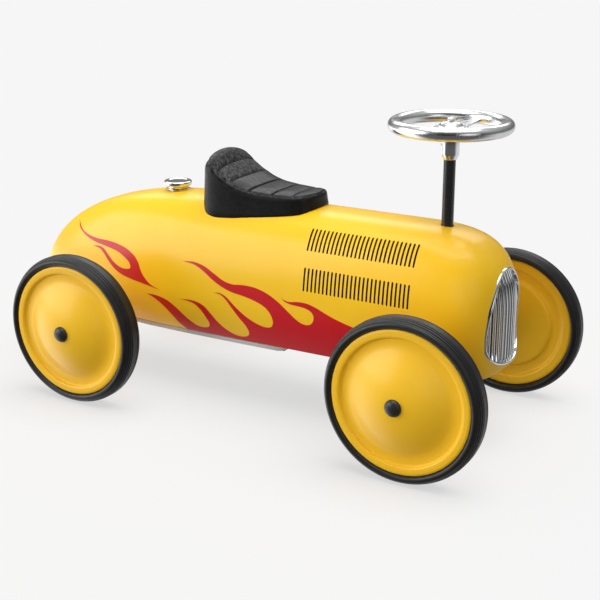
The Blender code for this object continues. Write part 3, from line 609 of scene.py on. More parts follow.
def make_slot_shade_sheets():
    """Dark sheets just inside the skin, behind the two rows of slots on each side: painted shade, so that
    the slots read black.
    """
    work = bmesh.new()
    across, up = 24, 14
    low, high = SLOT_ROWS[1][0] - 0.006, SLOT_ROWS[0][1] + 0.005
    first, last = SLOT_ROWS[0][2] - 0.006, SLOT_ROWS[1][3] + 0.003
    for side in (1, -1):
        rows = []
        for j in range(up + 1):
            z = low + (high - low) * j / up
            row = []
            for i in range(across + 1):
                x = first + (last - first) * i / across
                spot = Vector((x, skin_y(x, z), z)) - skin_normal(x, z) * SHADE_SHEET_DEPTH
                row.append(work.verts.new((spot.x, side * spot.y, spot.z)))
            rows.append(row)
        for lower, upper in zip(rows, rows[1:]):
            for i in range(across):
                work.faces.new((lower[i], lower[i + 1], upper[i + 1], upper[i]))
    shade_sheets = add_object("slot_painted_shade", finish_mesh(work, "slot_painted_shade", 60), "painted_shade_black")
    thicken(shade_sheets, SHADE_SHEET_THICKNESS)
    seat_on(shade_sheets, "chassis", "black_steel")


# Flames
# Each outline is a ring of strokes, in millimetres along X and Z. Strokes meet at sharp tips.
REAR_FLAME = [
    [(-291, 210), (-282, 201), (-264, 193.4), (-245, 189.3), (-224, 187.2), (-200, 184), (-186, 178.6),
     (-176, 172), (-174, 165.5), (-182, 162.8), (-195, 164), (-206.5, 169.3), (-217, 177.2),
     (-226, 183.5), (-236, 185.3), (-247.7, 183.3)],
    [(-247.7, 183.3), (-234, 182), (-225, 177), (-215, 168), (-204, 160), (-190, 154), (-172, 150.4),
     (-150, 147.5), (-122, 143.8)],
    [(-122, 143.8), (-138, 148.6), (-148, 155.8), (-155.5, 165), (-160, 174.5), (-168, 183),
     (-182, 190), (-200, 193.8), (-219, 195.1), (-239, 194.6), (-258, 195.9), (-274, 199.8), (-291, 210)],
]
FLANK_FLAMES = [
    [(-83, 93.6), (-94.5, 101.6), (-106, 113), (-119.5, 124.2), (-133, 131.4), (-144.6, 135.4)],
    [(-144.6, 135.4), (-127, 135.2), (-110, 131.4), (-95, 122.8), (-79, 110.6), (-66, 103), (-55.5, 101.6),
     (-46, 104.3), (-44.3, 109.5), (-48.5, 117.4), (-56.5, 127.4), (-66, 134), (-78, 136.2), (-90, 136.8)],
    [(-90, 136.8), (-73, 138.2), (-61, 137.2), (-50.5, 133.2), (-40, 123.8), (-31, 114.4), (-19.5, 105.6),
     (-6, 99.8), (6, 99.2), (14.4, 102), (16.6, 107.6), (13, 116), (3.6, 126), (-6.8, 137.6),
     (-16, 147.2), (-24.5, 152.6), (-35, 154.2)],
    [(-35, 154.2), (-25.5, 154.8), (-16, 151.4), (-6.5, 144.2), (4.2, 136), (17, 128), (31, 122),
     (43.5, 119.6), (52, 121.8), (54.8, 128.6), (51.5, 138.5), (43, 146.8), (28, 152.6), (10, 156.4),
     (-8, 159), (-24, 164), (-39, 171.6), (-51.5, 179.6), (-67, 186.2), (-85.7, 188.3)],
    [(-85.7, 188.3), (-68, 189.8), (-51.5, 186.6), (-34, 178.4), (-20, 171.8), (-6, 169.4), (10, 170.8),
     (28, 170), (46, 165.2), (62, 157.2), (76, 147.4), (89, 138.2), (98, 134), (106, 133.8),
     (112.3, 137.6), (114.3, 144.6), (111.2, 151), (102.5, 154.8), (91, 156), (79.5, 156.8),
     (70.5, 159.8), (65.6, 166.6)],
    [(65.6, 166.6), (69, 162), (77, 159.8), (90, 161.4), (103, 161.6), (117, 158.2), (134, 151.6),
     (151, 146.2), (172, 141.2), (198, 135.4), (226, 129.6), (256, 127)],
    [(256, 127), (228, 123.5), (199, 123)],
    [(199, 123), (198.6, 108), (198.6, 93.6)],
    [(198.6, 93.6), (60, 93.6), (-83, 93.6)],
]
FLAME_CELL = 0.0035
PAINT_FILM = 0.00014              # how far the paint stands proud
PAINT_ROOT = 0.0005               # how deep its underside lies


def filled(outline, cell):
    """Flat triangle mesh of a closed outline of (a, b) points, with a grid of points inside."""
    corners = [Vector(p) for p in outline]
    spots = list(corners)
    ring = np.array([tuple(p) for p in corners])
    ahead = np.roll(ring, -1, axis=0)
    low, high = ring.min(axis=0), ring.max(axis=0)
    grid = [(a, b) for a in np.arange(low[0] + cell / 2, high[0], cell)
            for b in np.arange(low[1] + cell / 2, high[1], cell)]
    clear = distances(grid, corners) > cell * 0.4
    for (a, b), kept in zip(grid, clear):
        crossing = (ring[:, 1] > b) != (ahead[:, 1] > b)
        rise = np.where(crossing, ahead[:, 1] - ring[:, 1], 1.0)
        at = ring[:, 0] + (b - ring[:, 1]) / rise * (ahead[:, 0] - ring[:, 0])
        if kept and np.count_nonzero(crossing & (at > a)) % 2:
            spots.append(Vector((a, b)))
    count = len(corners)
    edges = [(i, (i + 1) % count) for i in range(count)]
    flat, _, faces, _, _, _ = delaunay_2d_cdt(spots, edges, [list(range(count))], 1, 1e-7)
    return flat, faces


def lay_on_skin(name, strokes, side):
    """A film of paint that follows the flank, closed underneath."""
    outline = []
    for stroke in strokes:
        metres = [(x / 1000, z / 1000) for x, z in stroke]
        outline += (smooth_chain(metres, 6) if len(stroke) > 3 else metres)[:-1]
    work = bmesh.new()
    flat, faces = filled(outline, FLAME_CELL)
    spots = [work.verts.new((p.x, 0, p.y)) for p in flat]
    for face in faces:
        work.faces.new([spots[k] for k in face])
    borders = [e for e in work.edges if e.is_boundary]
    film = {}
    for vert in list(work.verts):
        x, z = vert.co.x, vert.co.z
        spot = Vector((x, skin_y(x, z), z))
        normal = skin_normal(x, z)
        above, below = spot + normal * PAINT_FILM, spot - normal * PAINT_ROOT
        vert.co = Vector((above.x, above.y * side, above.z))
        film[vert] = work.verts.new((below.x, below.y * side, below.z))
    for face in list(work.faces):
        work.faces.new([film[v] for v in reversed(face.verts)])
    for edge in borders:
        a, b = edge.verts
        work.faces.new((a, b, film[b], film[a]))
    made = add_object(name, finish_mesh(work, name, 60), "red")
    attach(made, "chassis")


def make_flames():
    for side_name, side in (("right", -1), ("left", 1)):
        lay_on_skin(f"flame_rear_{side_name}", REAR_FLAME, side)
        lay_on_skin(f"flame_flank_{side_name}", FLANK_FLAMES, side)


# Grille
RIB_PITCH = 0.0072
RIB_COUNT = 14
RIB_ROOT = 0.0048                 # behind the face of the nose
RIB_END_GAP = 0.0012
PLATE_DEPTH = 0.0060


def swept_rim(name, loop, section, look):
    """A closed moulding: section points are (outwards, forwards) from the outline on the nose."""
    work = bmesh.new()
    rings = []
    for p, n in loop:
        ring = []
        for across, forward in section:
            spot = p + n * across
            ring.append(work.verts.new((face_x(spot.x, spot.y) + forward, spot.x, spot.y)))
        rings.append(ring)
    for a, b in zip(rings, rings[1:] + rings[:1]):
        band(work, a, b)
    return add_object(name, finish_mesh(work, name, 50), look)


def make_grille():
    loop = grille_loop(8)
    bead = [(-0.0004 + 0.0014 * math.cos(math.pi * k / 8), 0.0006 + 0.0016 * math.sin(math.pi * k / 8))
            for k in range(9)]
    section = bead + [(-0.0018, -0.0092), (0.0010, -0.0092)]
    rim = swept_rim("grille_rim", loop, section, "chrome")
    seat_on(rim, "chassis", "chrome", "grille_frame")
    make_ribs(loop)
    make_back_plate(loop)


def make_ribs(loop):
    """Upright half-round bars that end under the rim."""
    work = bmesh.new()
    steps_up = 24
    for i in range(RIB_COUNT):
        y = (i - (RIB_COUNT - 1) / 2) * RIB_PITCH
        low, high = heights_at(loop, y)
        width, proud = 0.0022, 0.0032
        section = [(width * math.cos(math.pi * k / 10), proud * math.sin(math.pi * k / 10))
                   for k in range(11)]
        section += [(-width, -0.0012), (width, -0.0012)]
        slope = -y / math.sqrt(NOSE_ARC_RADIUS ** 2 - y ** 2)
        out_dir = Vector((1, -slope, 0)).normalized()
        side_dir = Vector((slope, 1, 0)).normalized()
        rings = []
        for k in range(steps_up + 1):
            z = low + (high - low) * k / steps_up
            root = Vector((face_x(y, z) - RIB_ROOT, y, z))
            rings.append([work.verts.new(root + side_dir * a + out_dir * b) for a, b in section])
        for a, b in zip(rings, rings[1:]):
            band(work, a, b)
        work.faces.new(list(reversed(rings[0])))
        work.faces.new(rings[-1])
    ribs = add_object("grille_ribs", finish_mesh(work, "grille_ribs", 45), "chrome")
    seat_on(ribs, "chassis", "chrome", "grille_insert")


def heights_at(loop, y):
    """Bottom and top of the grille opening at one Y."""
    found = []
    for (p, _), (q, _) in zip(loop, loop[1:] + loop[:1]):
        if (p.x - y) * (q.x - y) <= 0 and p.x != q.x:
            found.append(p.y + (q.y - p.y) * (y - p.x) / (q.x - p.x))
    low = min(z for z in found if z < GRILLE_MIDDLE_Z)
    high = max(z for z in found if z > GRILLE_MIDDLE_Z)
    return low + RIB_END_GAP, high - RIB_END_GAP


def make_back_plate(loop):
    """The dark sheet behind the bars."""
    work = bmesh.new()
    ring = [p - n * 0.0018 for p, n in loop]
    centre = Vector((0.0, 0.158))
    rings = []
    for inward in (0.0, 0.25, 0.5, 0.75):
        row = []
        for p in ring:
            spot = p.lerp(centre, inward)
            row.append(work.verts.new((face_x(spot.x, spot.y) - PLATE_DEPTH, spot.x, spot.y)))
        rings.append(row)
    hub = work.verts.new((face_x(0, centre.y) - PLATE_DEPTH, 0, centre.y))
    for a, b in zip(rings, rings[1:]):
        band(work, a, b)
    for a, b in zip(rings[-1], rings[-1][1:] + rings[-1][:1]):
        work.faces.new((a, b, hub))
    made = add_object("grille_back_plate", finish_mesh(work, "grille_back_plate", 40), "black_steel")
    thicken(made, 0.0010)
    seat_on(made, "chassis", "black_steel")


# Pad
PAD_HALF_WIDTH = [(-0.0808, 0.0165), (-0.0785, 0.0300), (-0.0735, 0.0405), (-0.0660, 0.0482),
                  (-0.0540, 0.0515), (-0.0300, 0.0510), (-0.0003, 0.0476), (0.0343, 0.0427),
                  (0.0607, 0.0372), (0.0708, 0.0326), (0.0783, 0.0235), (0.0822, 0.0120)]
PAD_TOP = [(-0.0815, 0.3215), (-0.0740, 0.3252), (-0.0655, 0.3268), (-0.0590, 0.3242), (-0.0500, 0.3130),
           (-0.0298, 0.2962), (-0.0030, 0.2872), (0.0282, 0.2845), (0.0561, 0.2842), (0.0690, 0.2850),
           (0.0780, 0.2842), (0.0835, 0.2826)]
CHANNELS = [-0.050, -0.030, -0.003, 0.028, 0.056]     # sewn lines across the pad
PAD_BORDER = 0.0042               # from the pad's edge to the seam round its top
PAD_EDGE_ROUND = 0.0042
PAD_CELL = 0.0011
SEAM_HALF_WIDTH = 0.0010


def curve_at(points, x):
    """A smooth curve through a few (x, value) points."""
    if x <= points[0][0]:
        return points[0][1]
    if x >= points[-1][0]:
        return points[-1][1]
    slopes = [0.0]
    for before, after in zip(points, points[2:]):
        slopes.append((after[1] - before[1]) / (after[0] - before[0]))
    slopes.append(0.0)
    i = max(k for k in range(len(points) - 1) if points[k][0] <= x)
    (x0, v0), (x1, v1) = points[i], points[i + 1]
    span = x1 - x0
    t = (x - x0) / span
    start = (1 + 2 * t) * (1 - t) ** 2 * v0 + t * (1 - t) ** 2 * span * slopes[i]
    return start + t * t * (3 - 2 * t) * v1 + t * t * (t - 1) * span * slopes[i + 1]


def pad_outline():
    """Plan of the pad's top edge as a closed ring of (x, y) points."""
    corners = [(x, -y) for x, y in PAD_HALF_WIDTH] + [(x, y) for x, y in reversed(PAD_HALF_WIDTH)]
    chain = smooth_chain(corners[-3:] + corners + corners[:4], 10)[30:-31]
    ring = [Vector(p) for p in chain]
    return [p - n * 0.0020 for p, n in zip(ring, outward(ring))]


def outward(ring):
    """Unit normals of a closed plan ring, pointing away from its middle."""
    middle = sum(ring, Vector((0, 0))) / len(ring)
    found = []
    for i, p in enumerate(ring):
        along = ring[(i + 1) % len(ring)] - ring[i - 1]
        normal = Vector((along.y, -along.x)).normalized()
        found.append(normal if normal.dot(p - middle) > 0 else -normal)
    return found


def dip(distance, width):
    return math.exp(-(distance / width) ** 2)


def pad_surface(x, y, inside):
    """Height of the pad's top; inside is the distance to its edge."""
    rear = share(x, -0.030, -0.058)
    half = max(curve_at(PAD_HALF_WIDTH, x), 0.026 + 0.022 * rear)
    top = curve_at(PAD_TOP, x) - (0.0036 + 0.0089 * rear) * min(1.0, abs(y) / half) ** (4.0 - 2.0 * rear)
    rounding = PAD_EDGE_ROUND + 0.0095 * share(x, -0.056, -0.074)
    if inside < rounding:
        top -= rounding - math.sqrt(rounding ** 2 - (rounding - inside) ** 2)
    top -= 0.0024 * dip(inside - PAD_BORDER, SEAM_HALF_WIDTH)
    within = share(inside, PAD_BORDER, PAD_BORDER + 0.0030)
    for at in CHANNELS:
        top -= 0.0030 * within * dip(x - at, SEAM_HALF_WIDTH)
    stops = [-0.0760] + CHANNELS + [0.0780]
    for a, b in zip(stops, stops[1:]):
        if a <= x <= b:
            swell = 1 - ((x - (a + b) / 2) / ((b - a) / 2)) ** 2
            top += 0.0018 * swell * share(inside, PAD_BORDER, 0.022)
    return top


def ordered_boundary(work):
    """The boundary vertices in order round the mesh."""
    edges = [e for e in work.edges if e.is_boundary]
    start = edges[0].verts[0]
    ring, edge = [start], edges[0]
    while True:
        here = edge.other_vert(ring[-1])
        if here is start:
            return ring
        ring.append(here)
        edge = [e for e in here.link_edges if e.is_boundary and e is not edge][0]


def make_seat():
    ring = pad_outline()
    work = bmesh.new()
    flat, faces = filled(ring, PAD_CELL)
    spots = [work.verts.new((p.x, p.y, 0)) for p in flat]
    for face in faces:
        work.faces.new([spots[k] for k in face])
    inside = distances([(v.co.x, v.co.y) for v in work.verts], ring)
    for vert, gap in zip(work.verts, inside):
        vert.co.z = pad_surface(vert.co.x, vert.co.y, gap)
    for face in work.faces:
        middle = face.calc_center_median()
        face.material_index = 1 if middle.x < CHANNELS[1] else 0
    spots = [tuple(f.calc_center_median()[:2]) for f in work.faces]
    for face, gap in zip(work.faces, distances(spots, ring)):
        if gap < PAD_BORDER:
            face.material_index = 0
    above = ordered_boundary(work)
    rim = [Vector(v.co) for v in above]
    away = outward([Vector((p.x, p.y)) for p in rim])
    levels = 12
    for level in range(1, levels + 1):
        t = level / levels
        below = []
        for p, n in zip(rim, away):
            spread = 0.0022 * t ** 1.3 - 0.0006 * math.exp(-((1 - t) / 0.05) ** 2)
            x, y = p.x + n.x * spread, p.y + n.y * spread
            foot = skin_height(x, y) + 0.0004
            below.append(work.verts.new((x, y, p.z + (foot - p.z) * t)))
        band(work, above, below)
        above = below
    work.faces.new(above)
    seat = add_object("seat", finish_mesh(work, "seat", 60), "leather", "leather_coarse")
    seat_on(seat, "chassis", "seat", "seat_pad")


# Filler cap
def make_filler():
    base = skin_height(FILLER_X + 0.0165, 0)
    flange = fillet([(0, base + 0.0012), (0.0148, base + 0.0012), (0.0166, base + 0.0002),
                     (0.0120, base - 0.0006), (0.0120, base - 0.008), (0, base - 0.008)], 0.0005)
    fit_turned("filler_flange", flange, "chrome", 96, (FILLER_X, 0, 0), "chassis", "chrome", "filler_neck")
    profile = [(0, 0.0091), (0.0070, 0.0091), (0.0096, 0.0089), (0.0124, 0.0089), (0.0142, 0.0095),
               (0.0164, 0.0098), (0.0182, 0.0094), (0.0190, 0.0082), (0.0188, 0.0050), (0.0178, 0.0034),
               (0.0150, 0.0028), (0.0148, 0.0), (0, 0.0)]
    fit_turned("filler_cap", fillet(profile, 0.0010, 4), "chrome", 128, (FILLER_X, 0, base + 0.0015),
               "chassis", "chrome", "fuel_cap")


# Steering
def flat_plate(name, outline, thickness, look):
    work = bmesh.new()
    prism(work, *([(x, y, z) for x, y in outline] for z in (-thickness / 2, thickness / 2)))
    return add_object(name, finish_mesh(work, name), look)


def soften(made, width, segments=3, angle=35.0):
    edge = made.modifiers.new("edges", "BEVEL")
    edge.width = width
    edge.segments = segments
    edge.limit_method = "ANGLE"
    edge.angle_limit = math.radians(angle)


def make_hand_wheel():
    ring_profile = [(RING_RADIUS + RING_TUBE * math.cos(2 * math.pi * k / 40),
                     RING_TUBE * math.sin(2 * math.pi * k / 40)) for k in range(40)]
    ring = place(turned("hand_wheel", ring_profile, "cast_chrome", 160), (COLUMN_X, 0, RING_Z))
    side = smooth_chain([(0.0132, RING_RADIUS), (0.0126, 0.045), (0.0134, 0.028), (0.0158, 0.014),
                         (0.0162, 0.0)], 6)
    corner = side + [(x, -y) for x, y in reversed(side[:-1])]
    outline = corner + [(-x, y) for x, y in reversed(corner)]
    spokes = flat_plate("hand_wheel_spokes", outline, 0.0036, "cast_chrome")
    place(spokes, (COLUMN_X, 0, RING_Z - 0.0028))
    soften(spokes, 0.0014, 4)
    apply_modifiers(spokes)
    above_ring = [(0, 0.0050), (0.0060, 0.0050), (0.0100, 0.0042), (0.0132, 0.0022), (0.0150, -0.0008),
                  (0.0196, -0.0014), (0.0205, -0.0024), (0.0205, -0.0050), (0.0190, -0.0062),
                  (0.0125, -0.0080)]
    hub_profile = [(r, RING_Z + z) for r, z in above_ring] + [(0.0118, HUB_BOTTOM_Z), (0, HUB_BOTTOM_Z)]
    hub = place(turned("hand_wheel_hub", fillet(hub_profile, 0.0016, 4), "cast_chrome", 96),
                (COLUMN_X, 0, 0))
    carve(ring, spokes, "UNION")
    carve(ring, hub, "UNION")
    resmooth(ring, 40)
    seat_on(ring, "steering", "chrome", "steering_wheel")
    head = [(0, 0.0014), (0.0017, 0.0014), (0.0022, 0.0042), (0.0040, 0.0042), (0.0048, 0.0034),
            (0.0048, 0.0), (0, 0.0)]
    fit_turned("hand_wheel_screw", fillet(head, 0.0005, 3), "chrome", 48,
               (COLUMN_X, 0, RING_Z + 0.0051), "steering", "chrome", "wheel_screw")
    # A black disc on the floor of the screw's recess: painted shade for its socket.
    socket = [(0, 0.0002), (0.0016, 0.0002), (0.0016, 0), (0, 0)]
    fit_turned("hand_wheel_socket_shade", socket, "black_steel", 24,
               (COLUMN_X, 0, RING_Z + 0.0066), "steering", "black_steel")


def make_column():
    bottom, top = 0.0972, HUB_BOTTOM_Z - 0.0003
    profile = [(0, top), (COLUMN_RADIUS, top), (COLUMN_RADIUS, bottom + 0.004), (0.0044, bottom + 0.003),
               (0.0044, bottom), (0, bottom)]
    fit_turned("column", fillet(profile, 0.0005), "black_steel", 64, (COLUMN_X, 0, 0),
               "steering", "black_steel", "steering_column")
    inner, outer, low, high = COLUMN_RADIUS + 0.0002, COLLAR_RADIUS, COLLAR_BOTTOM_Z, HUB_BOTTOM_Z - 0.0006
    shape = [(inner, high), (outer, high), (outer, low + 0.0062), (0.0086, low), (inner, low)]
    collar = turned("collar", fillet(shape + shape[:1], 0.0006, 3)[:-1], "chrome", 96)
    place(collar, (COLUMN_X, 0, 0))
    angle = math.radians(215)
    hole = turned("collar_hole", [(0, 0.02), (0.0021, 0.02), (0.0021, 0), (0, 0)], "body", 32)
    place(hole, (COLUMN_X, 0, COLLAR_SCREW_Z), (0, math.pi / 2, angle))
    carve(collar, hole)
    resmooth(collar, 35)
    seat_on(collar, "steering", "chrome", "steering_collar")
    grub = fillet([(0, 0.0018), (0.0010, 0.0018), (0.0012, 0.0026), (0.0019, 0.0026), (0.0019, 0),
                   (0, 0)], 0.0002)
    along = Vector((math.cos(angle), math.sin(angle), 0))
    spot = Vector((COLUMN_X, 0, COLLAR_SCREW_Z)) + along * (COLUMN_RADIUS + 0.0003)
    fit_turned("collar_grub", grub, "black_steel", 32, spot, "steering", "black_steel", "collar_screw",
               turn=(0, math.pi / 2, angle))
    crown = skin_height(COLUMN_X, 0)
    lip = [(COLUMN_RADIUS + 0.0002, crown + 0.0004), (0.0080, crown + 0.0003), (0.0081, crown - 0.0004),
           (0.0081, crown - 0.0055), (COLUMN_RADIUS + 0.0002, crown - 0.0055)]
    fit_turned("column_bushing", fillet(lip, 0.0002, 2), "black_plastic", 64, (COLUMN_X, 0, 0),
               "chassis", "black_plastic", "column_grommet")


# Wheels
def tyre_profile():
    """Outer wall, tread with fine moulded grooves, and the fuller inner wall."""
    outer = smooth_chain([(0.0876, 0.0088), (0.0881, 0.0107), (0.0893, 0.0125), (0.0912, 0.0134),
                          (0.0932, 0.0134), (0.0949, 0.0127), (0.0961, 0.0112)], 4)
    middle, reach = -0.0024, 0.0136
    tread = []
    for k in range(1, 90):
        across = reach * (1 - 2 * k / 90)
        fall = 0.0038 * share(abs(across), 0.0040, 0.0140) ** 1.8
        grooves = sum(0.0014 * dip(abs(across) - g, 0.00045) for g in (0.0052, 0.0084, 0.0114))
        r = WHEEL_RADIUS - fall - grooves
        tread.append((r, middle + across))
    inner = smooth_chain([(0.0960, -0.0160), (0.0946, -0.0168), (0.0924, -0.0171), (0.0902, -0.0166),
                          (0.0886, -0.0142), (0.0878, -0.0104), (0.0876, -0.0088)], 4)
    return [(0.0846, 0.0062)] + outer + tread + inner + [(0.0846, -0.0062)]


def disc_outer_profile():
    dome = smooth_chain([(0.0062, 0.0249), (0.0150, 0.0244), (0.0260, 0.0226), (0.0370, 0.0196),
                         (0.0480, 0.0154), (0.0575, 0.0108), (0.0640, 0.0080), (0.0690, 0.0070),
                         (0.0742, 0.0068)], 6)
    lip = fillet([(0.0742, 0.0068), (0.0764, 0.0070), (0.0778, 0.0106), (0.0800, 0.0113),
                  (0.0850, 0.0113), (0.0873, 0.0102), (0.0873, 0.0090), (0.0840, 0.0066)], 0.0014, 4)
    inner = [(0.0838, 0.0060), (0.0838, 0.0002), (0.0822, 0.0002), (0.0822, 0.0064), (0.0805, 0.0094),
             (0.0792, 0.0092), (0.0774, 0.0056), (0.0742, 0.0054), (0.0690, 0.0056), (0.0640, 0.0066),
             (0.0575, 0.0094), (0.0480, 0.0140), (0.0370, 0.0182), (0.0260, 0.0212), (0.0150, 0.0230),
             (0.0062, 0.0235)]
    return dome[:-1] + lip + inner


def disc_inner_profile():
    face = fillet([(0.0095, -0.0112), (0.0560, -0.0112), (0.0592, -0.0104), (0.0612, -0.0068),
                   (0.0640, -0.0062), (0.0715, -0.0062), (0.0738, -0.0072), (0.0752, -0.0106),
                   (0.0772, -0.0113), (0.0850, -0.0113), (0.0873, -0.0102), (0.0873, -0.0090),
                   (0.0840, -0.0066)], 0.0016, 4)
    back = [(0.0838, -0.0060), (0.0838, -0.0003), (0.0822, -0.0003), (0.0822, -0.0064), (0.0805, -0.0094),
            (0.0772, -0.0096), (0.0756, -0.0062), (0.0715, -0.0046), (0.0640, -0.0046), (0.0604, -0.0056),
            (0.0580, -0.0090), (0.0560, -0.0097), (0.0095, -0.0097)]
    return face + back


def cap_profile():
    dome = smooth_chain([(0, 0.0318), (0.0046, 0.0312), (0.0080, 0.0297), (0.0099, 0.0274),
                         (0.0104, 0.0252)], 6)
    return dome + [(0.0053, 0.0252), (0.0053, 0.0266), (0, 0.0266)]


def make_wheels():
    sleeve = fillet([(0.0054, 0.0226), (0.0088, 0.0226), (0.0088, -0.0165), (0.0054, -0.0165),
                     (0.0054, 0.0226)], 0.0004, 2)[:-1]
    for corner, x, s in CORNERS:
        wheel = f"wheel_{corner}"
        where = {"turn": (-s * math.pi / 2, 0, 0), "angle": 50.0}
        spot = (x, s * TRACK_HALF, AXLE_Z)
        fit_turned(f"tyre_skin_{corner}", tyre_profile(), "rubber", 192, spot, wheel, "tyre",
                   f"tyre_{corner}", **where)
        fit_turned(f"disc_front_{corner}", disc_outer_profile(), "wheel", 160, spot, wheel,
                   "wheel_enamel", f"wheel_disc_outer_{corner}", **where)
        fit_turned(f"disc_back_{corner}", disc_inner_profile(), "wheel", 160, spot, wheel,
                   "wheel_enamel", f"wheel_disc_inner_{corner}", **where)
        fit_turned(f"hub_sleeve_{corner}", sleeve, "nylon", 48, spot, wheel, "nylon",
                   f"wheel_sleeve_{corner}", turn=where["turn"])
        end = corner.split("_")[1]
        body = f"knuckle_{end}" if corner.startswith("front") else "chassis"
        fit_turned(f"axle_cap_{corner}", cap_profile(), "black_plastic", 64, spot, body,
                   "black_plastic", f"hub_cap_{corner}", **where)


# Chassis
STEEL_LOOKS = {
    "black_steel": ["crank_arm", "front_axle_beam", "knuckle_left", "knuckle_right"],
    "zinc": ["chassis_channel", "tie_rod", "link_pin_crank", "link_pin_left", "link_pin_right",
             "kingpin_left", "kingpin_right", "axle_spacer", "rear_axle", "axle_bracket_left",
             "axle_bracket_right", "axle_bolt_left", "axle_bolt_right", "pan_bolt_front",
             "pan_bolt_rear", "pan_spacer_front", "pan_spacer_rear", "seat_bolt_front",
             "seat_bolt_rear"],
    "nylon": ["column_bush", "axle_spacer_left", "axle_spacer_right"],
}
BOXY = {"chassis_channel", "front_axle_beam", "axle_spacer", "axle_bracket_left", "axle_bracket_right",
        "crank_arm", "tie_rod"}


def make_pan():
    """The pale tray under the tail, flush with the body's sides, and its two front screws."""
    stations = [-0.335, -0.320, -0.300, -0.270, -0.240, -0.200, -0.150, -0.100, -0.040, 0.020, 0.056, 0.064]
    inset = [0.020, 0.008, 0.003, 0.0012, 0.0008, 0.0008, 0.0008, 0.0008, 0.0008, 0.0008, 0.0012, 0.0070]
    edge = [(x, -(skin_y(x, BODY_BOTTOM_Z) - gap)) for x, gap in zip(stations, inset)]
    outline = edge + [(x, -y) for x, y in reversed(edge)]
    top, deep, wall = BODY_BOTTOM_Z - 0.0003, 0.0054, 0.0014
    pan = flat_plate("pan_tray", outline, deep, "pan")
    place(pan, (0, 0, top - deep / 2))
    centre = Vector((-0.13, 0))
    shrunk = []
    for x, y in outline:
        away = (Vector((x, y)) - centre).normalized() * wall
        shrunk.append((x - away.x, y - away.y * 1.2))
    dish = place(flat_plate("pan_dish", shrunk, deep, "pan"), (0, 0, top - deep / 2 + wall))
    soften(pan, 0.0007, 3)
    apply_modifiers(pan)
    carve(pan, dish)
    resmooth(pan, 35)
    seat_on(pan, "chassis", "grey_steel", "floor_pan")
    head = fillet([(0, 0), (0.0032, 0), (0.0032, -0.0014), (0.0022, -0.0026), (0, -0.0028)], 0.0004)
    for side_name, side in (("right", -1), ("left", 1)):
        fit_turned(f"pan_screw_{side_name}", head, "black_steel", 32, (0.0580, side * 0.0565, top - deep),
                   "chassis", "black_steel")


def dress_cad():
    """Materials and softened edges for the CAD nodes that stay in view."""
    for look, names in STEEL_LOOKS.items():
        for name in names:
            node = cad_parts[name]
            node.data.materials.clear()
            node.data.materials.append(MATERIALS[look])
            weld = node.modifiers.new("weld", "WELD")
            weld.merge_threshold = 0.00001
            if name in BOXY:
                soften(node, 0.0006, 2)
            node.data.shade_smooth()
            smooth = node.modifiers.new("normals", "WEIGHTED_NORMAL")
            smooth.keep_sharp = True


# Stage
def paper_material():
    """Pale paper that glows a little, so that shadows on it stay light."""
    made = bpy.data.materials.new("floor_paper")
    made.use_nodes = True
    made.node_tree.nodes.clear()
    glow = add_node(made, "ShaderNodeEmission")
    matt = add_node(made, "ShaderNodeBsdfDiffuse")
    mix = add_node(made, "ShaderNodeMixShader")
    for shader in (glow, matt):
        shader.inputs["Color"].default_value = (0.93, 0.93, 0.93, 1)
    glow.inputs["Strength"].default_value = 0.95
    mix.inputs["Fac"].default_value = 0.30
    wire(made, glow.outputs[0], mix.inputs[1])
    wire(made, matt.outputs[0], mix.inputs[2])
    wire(made, mix.outputs[0], add_node(made, "ShaderNodeOutputMaterial").inputs["Surface"])
    return made


def make_stage():
    work = bmesh.new()
    bmesh.ops.create_grid(work, x_segments=8, y_segments=8, size=40.0)
    floor = add_object("floor", finish_mesh(work, "floor"))
    floor.data.materials.append(paper_material())
    floor.location = (0, 0, -0.0002)
    floor.visible_diffuse = False
    floor.visible_glossy = False
    lamps = [add_light("key", (-3.3, -2.7, 1.5), (0.0, 0.0, 0.15), 4.2, 3.0, 138.0),
             add_light("back", (-1.6, 3.0, 2.9), (0.0, 0.0, 0.2), 5.0, 1.6, 62.0),
             add_light("top", (0.2, -0.2, 3.4), (0.0, 0.0, 0.2), 3.0, 2.4, 75.0),
             add_light("front", (3.2, -1.9, 1.3), (0.2, 0.0, 0.15), 1.8, 1.8, 10.0),
             add_light("fill", (1.2, -3.4, 0.9), (0.1, 0.0, 0.15), 2.4, 2.0, 36.0)]
    lamps[-1].visible_glossy = False
    light_floor_alone(floor, lamps)


def light_floor_alone(floor, lamps):
    """The lamps leave out the floor, which has one soft overhead light, so that it stays even."""
    paper, all_but_paper = (bpy.data.collections.new(name) for name in ("paper", "not_paper"))
    paper.objects.link(floor)
    all_but_paper.objects.link(floor)
    for lamp in lamps:
        lamp.light_linking.receiver_collection = all_but_paper
    all_but_paper.collection_objects[0].light_linking.link_state = "EXCLUDE"
    sky = bpy.data.lights.new("overhead", "SUN")
    sky.angle = math.radians(58)
    sky.energy = 2.2
    made = add_object("overhead", sky)
    made.rotation_euler = (0, math.radians(13), 0)
    made.light_linking.receiver_collection = paper


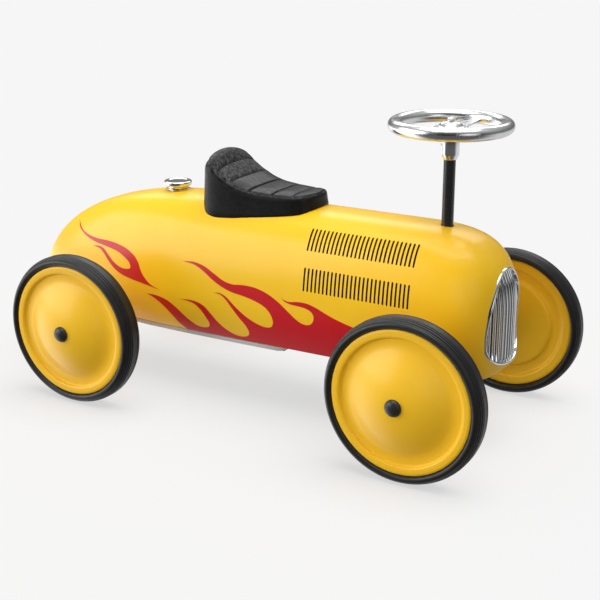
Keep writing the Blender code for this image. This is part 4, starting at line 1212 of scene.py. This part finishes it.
def make_world():
    """A soft studio surround: bright overhead, dark at the horizon and pale below.

    It is dimmed on the side of the right flank, and brightened low behind the tail.
    """
    world = bpy.data.worlds.new("studio")
    bpy.context.scene.world = world
    world.use_nodes = True
    background = world.node_tree.nodes["Background"]
    direction = add_node(world, "ShaderNodeTexCoord").outputs["Generated"]
    leanings = []
    for axis in ((0, 0, 1), (0.42, -0.86, -0.28), (-0.93, -0.06, -0.37)):
        dot = add_node(world, "ShaderNodeVectorMath", operation="DOT_PRODUCT")
        dot.inputs[1].default_value = axis
        wire(world, direction, dot.inputs[0])
        leanings.append(dot.outputs["Value"])
    upward, right_flank, low_behind = leanings
    strength = add_node(world, "ShaderNodeMath")
    wire(world, ramp(world, right_flank, 1.0, 0.15, 0.10, 0.60), strength.inputs[0])
    wire(world, ramp(world, low_behind, 0.0, 2.4, 0.72, 0.95), strength.inputs[1])
    wire(world, strength.outputs["Value"], background.inputs["Strength"])
    greys = add_node(world, "ShaderNodeValToRGB")
    wire(world, ramp(world, upward, 0.0, 1.0, -1.0, 1.0), greys.inputs["Fac"])
    wire(world, greys.outputs["Color"], background.inputs["Color"])
    stops = greys.color_ramp.elements
    stops[0].position, stops[1].position = 0.0, 1.0
    for at in (0.42, 0.50, 0.60, 0.80):
        stops.new(at)
    for stop, grey in zip(stops, (0.70, 0.70, 0.15, 0.18, 0.45, 0.60)):
        stop.color = (grey, grey, grey, 1)


def add_light(name, location, target, width, height, power):
    lamp = bpy.data.lights.new(name, "AREA")
    lamp.shape = "RECTANGLE"
    lamp.size = width
    lamp.size_y = height
    lamp.energy = power
    made = add_object(name, lamp)
    made.visible_camera = False
    made.location = location
    made.rotation_euler = (Vector(target) - Vector(location)).to_track_quat("-Z", "Y").to_euler()
    return made


def make_camera():
    lens = bpy.data.cameras.new("camera")
    lens.lens = 74.79
    lens.sensor_width = 36.0
    lens.clip_start = 0.05
    lens.clip_end = 200.0
    camera = add_object("camera", lens)
    camera.location = (0.8479, -1.3481, 0.6446)
    camera.rotation_euler = (math.radians(90 - 17.988), 0, math.radians(30.655))
    bpy.context.scene.camera = camera


bpy.context.scene.view_settings.view_transform = "Standard"
make_camera()
make_stage()
make_world()
make_body()
make_slot_shade_sheets()
make_flames()
make_grille()
make_seat()
make_filler()
make_hand_wheel()
make_column()
make_wheels()
make_pan()
dress_cad()

bpy.context.view_layer.update()
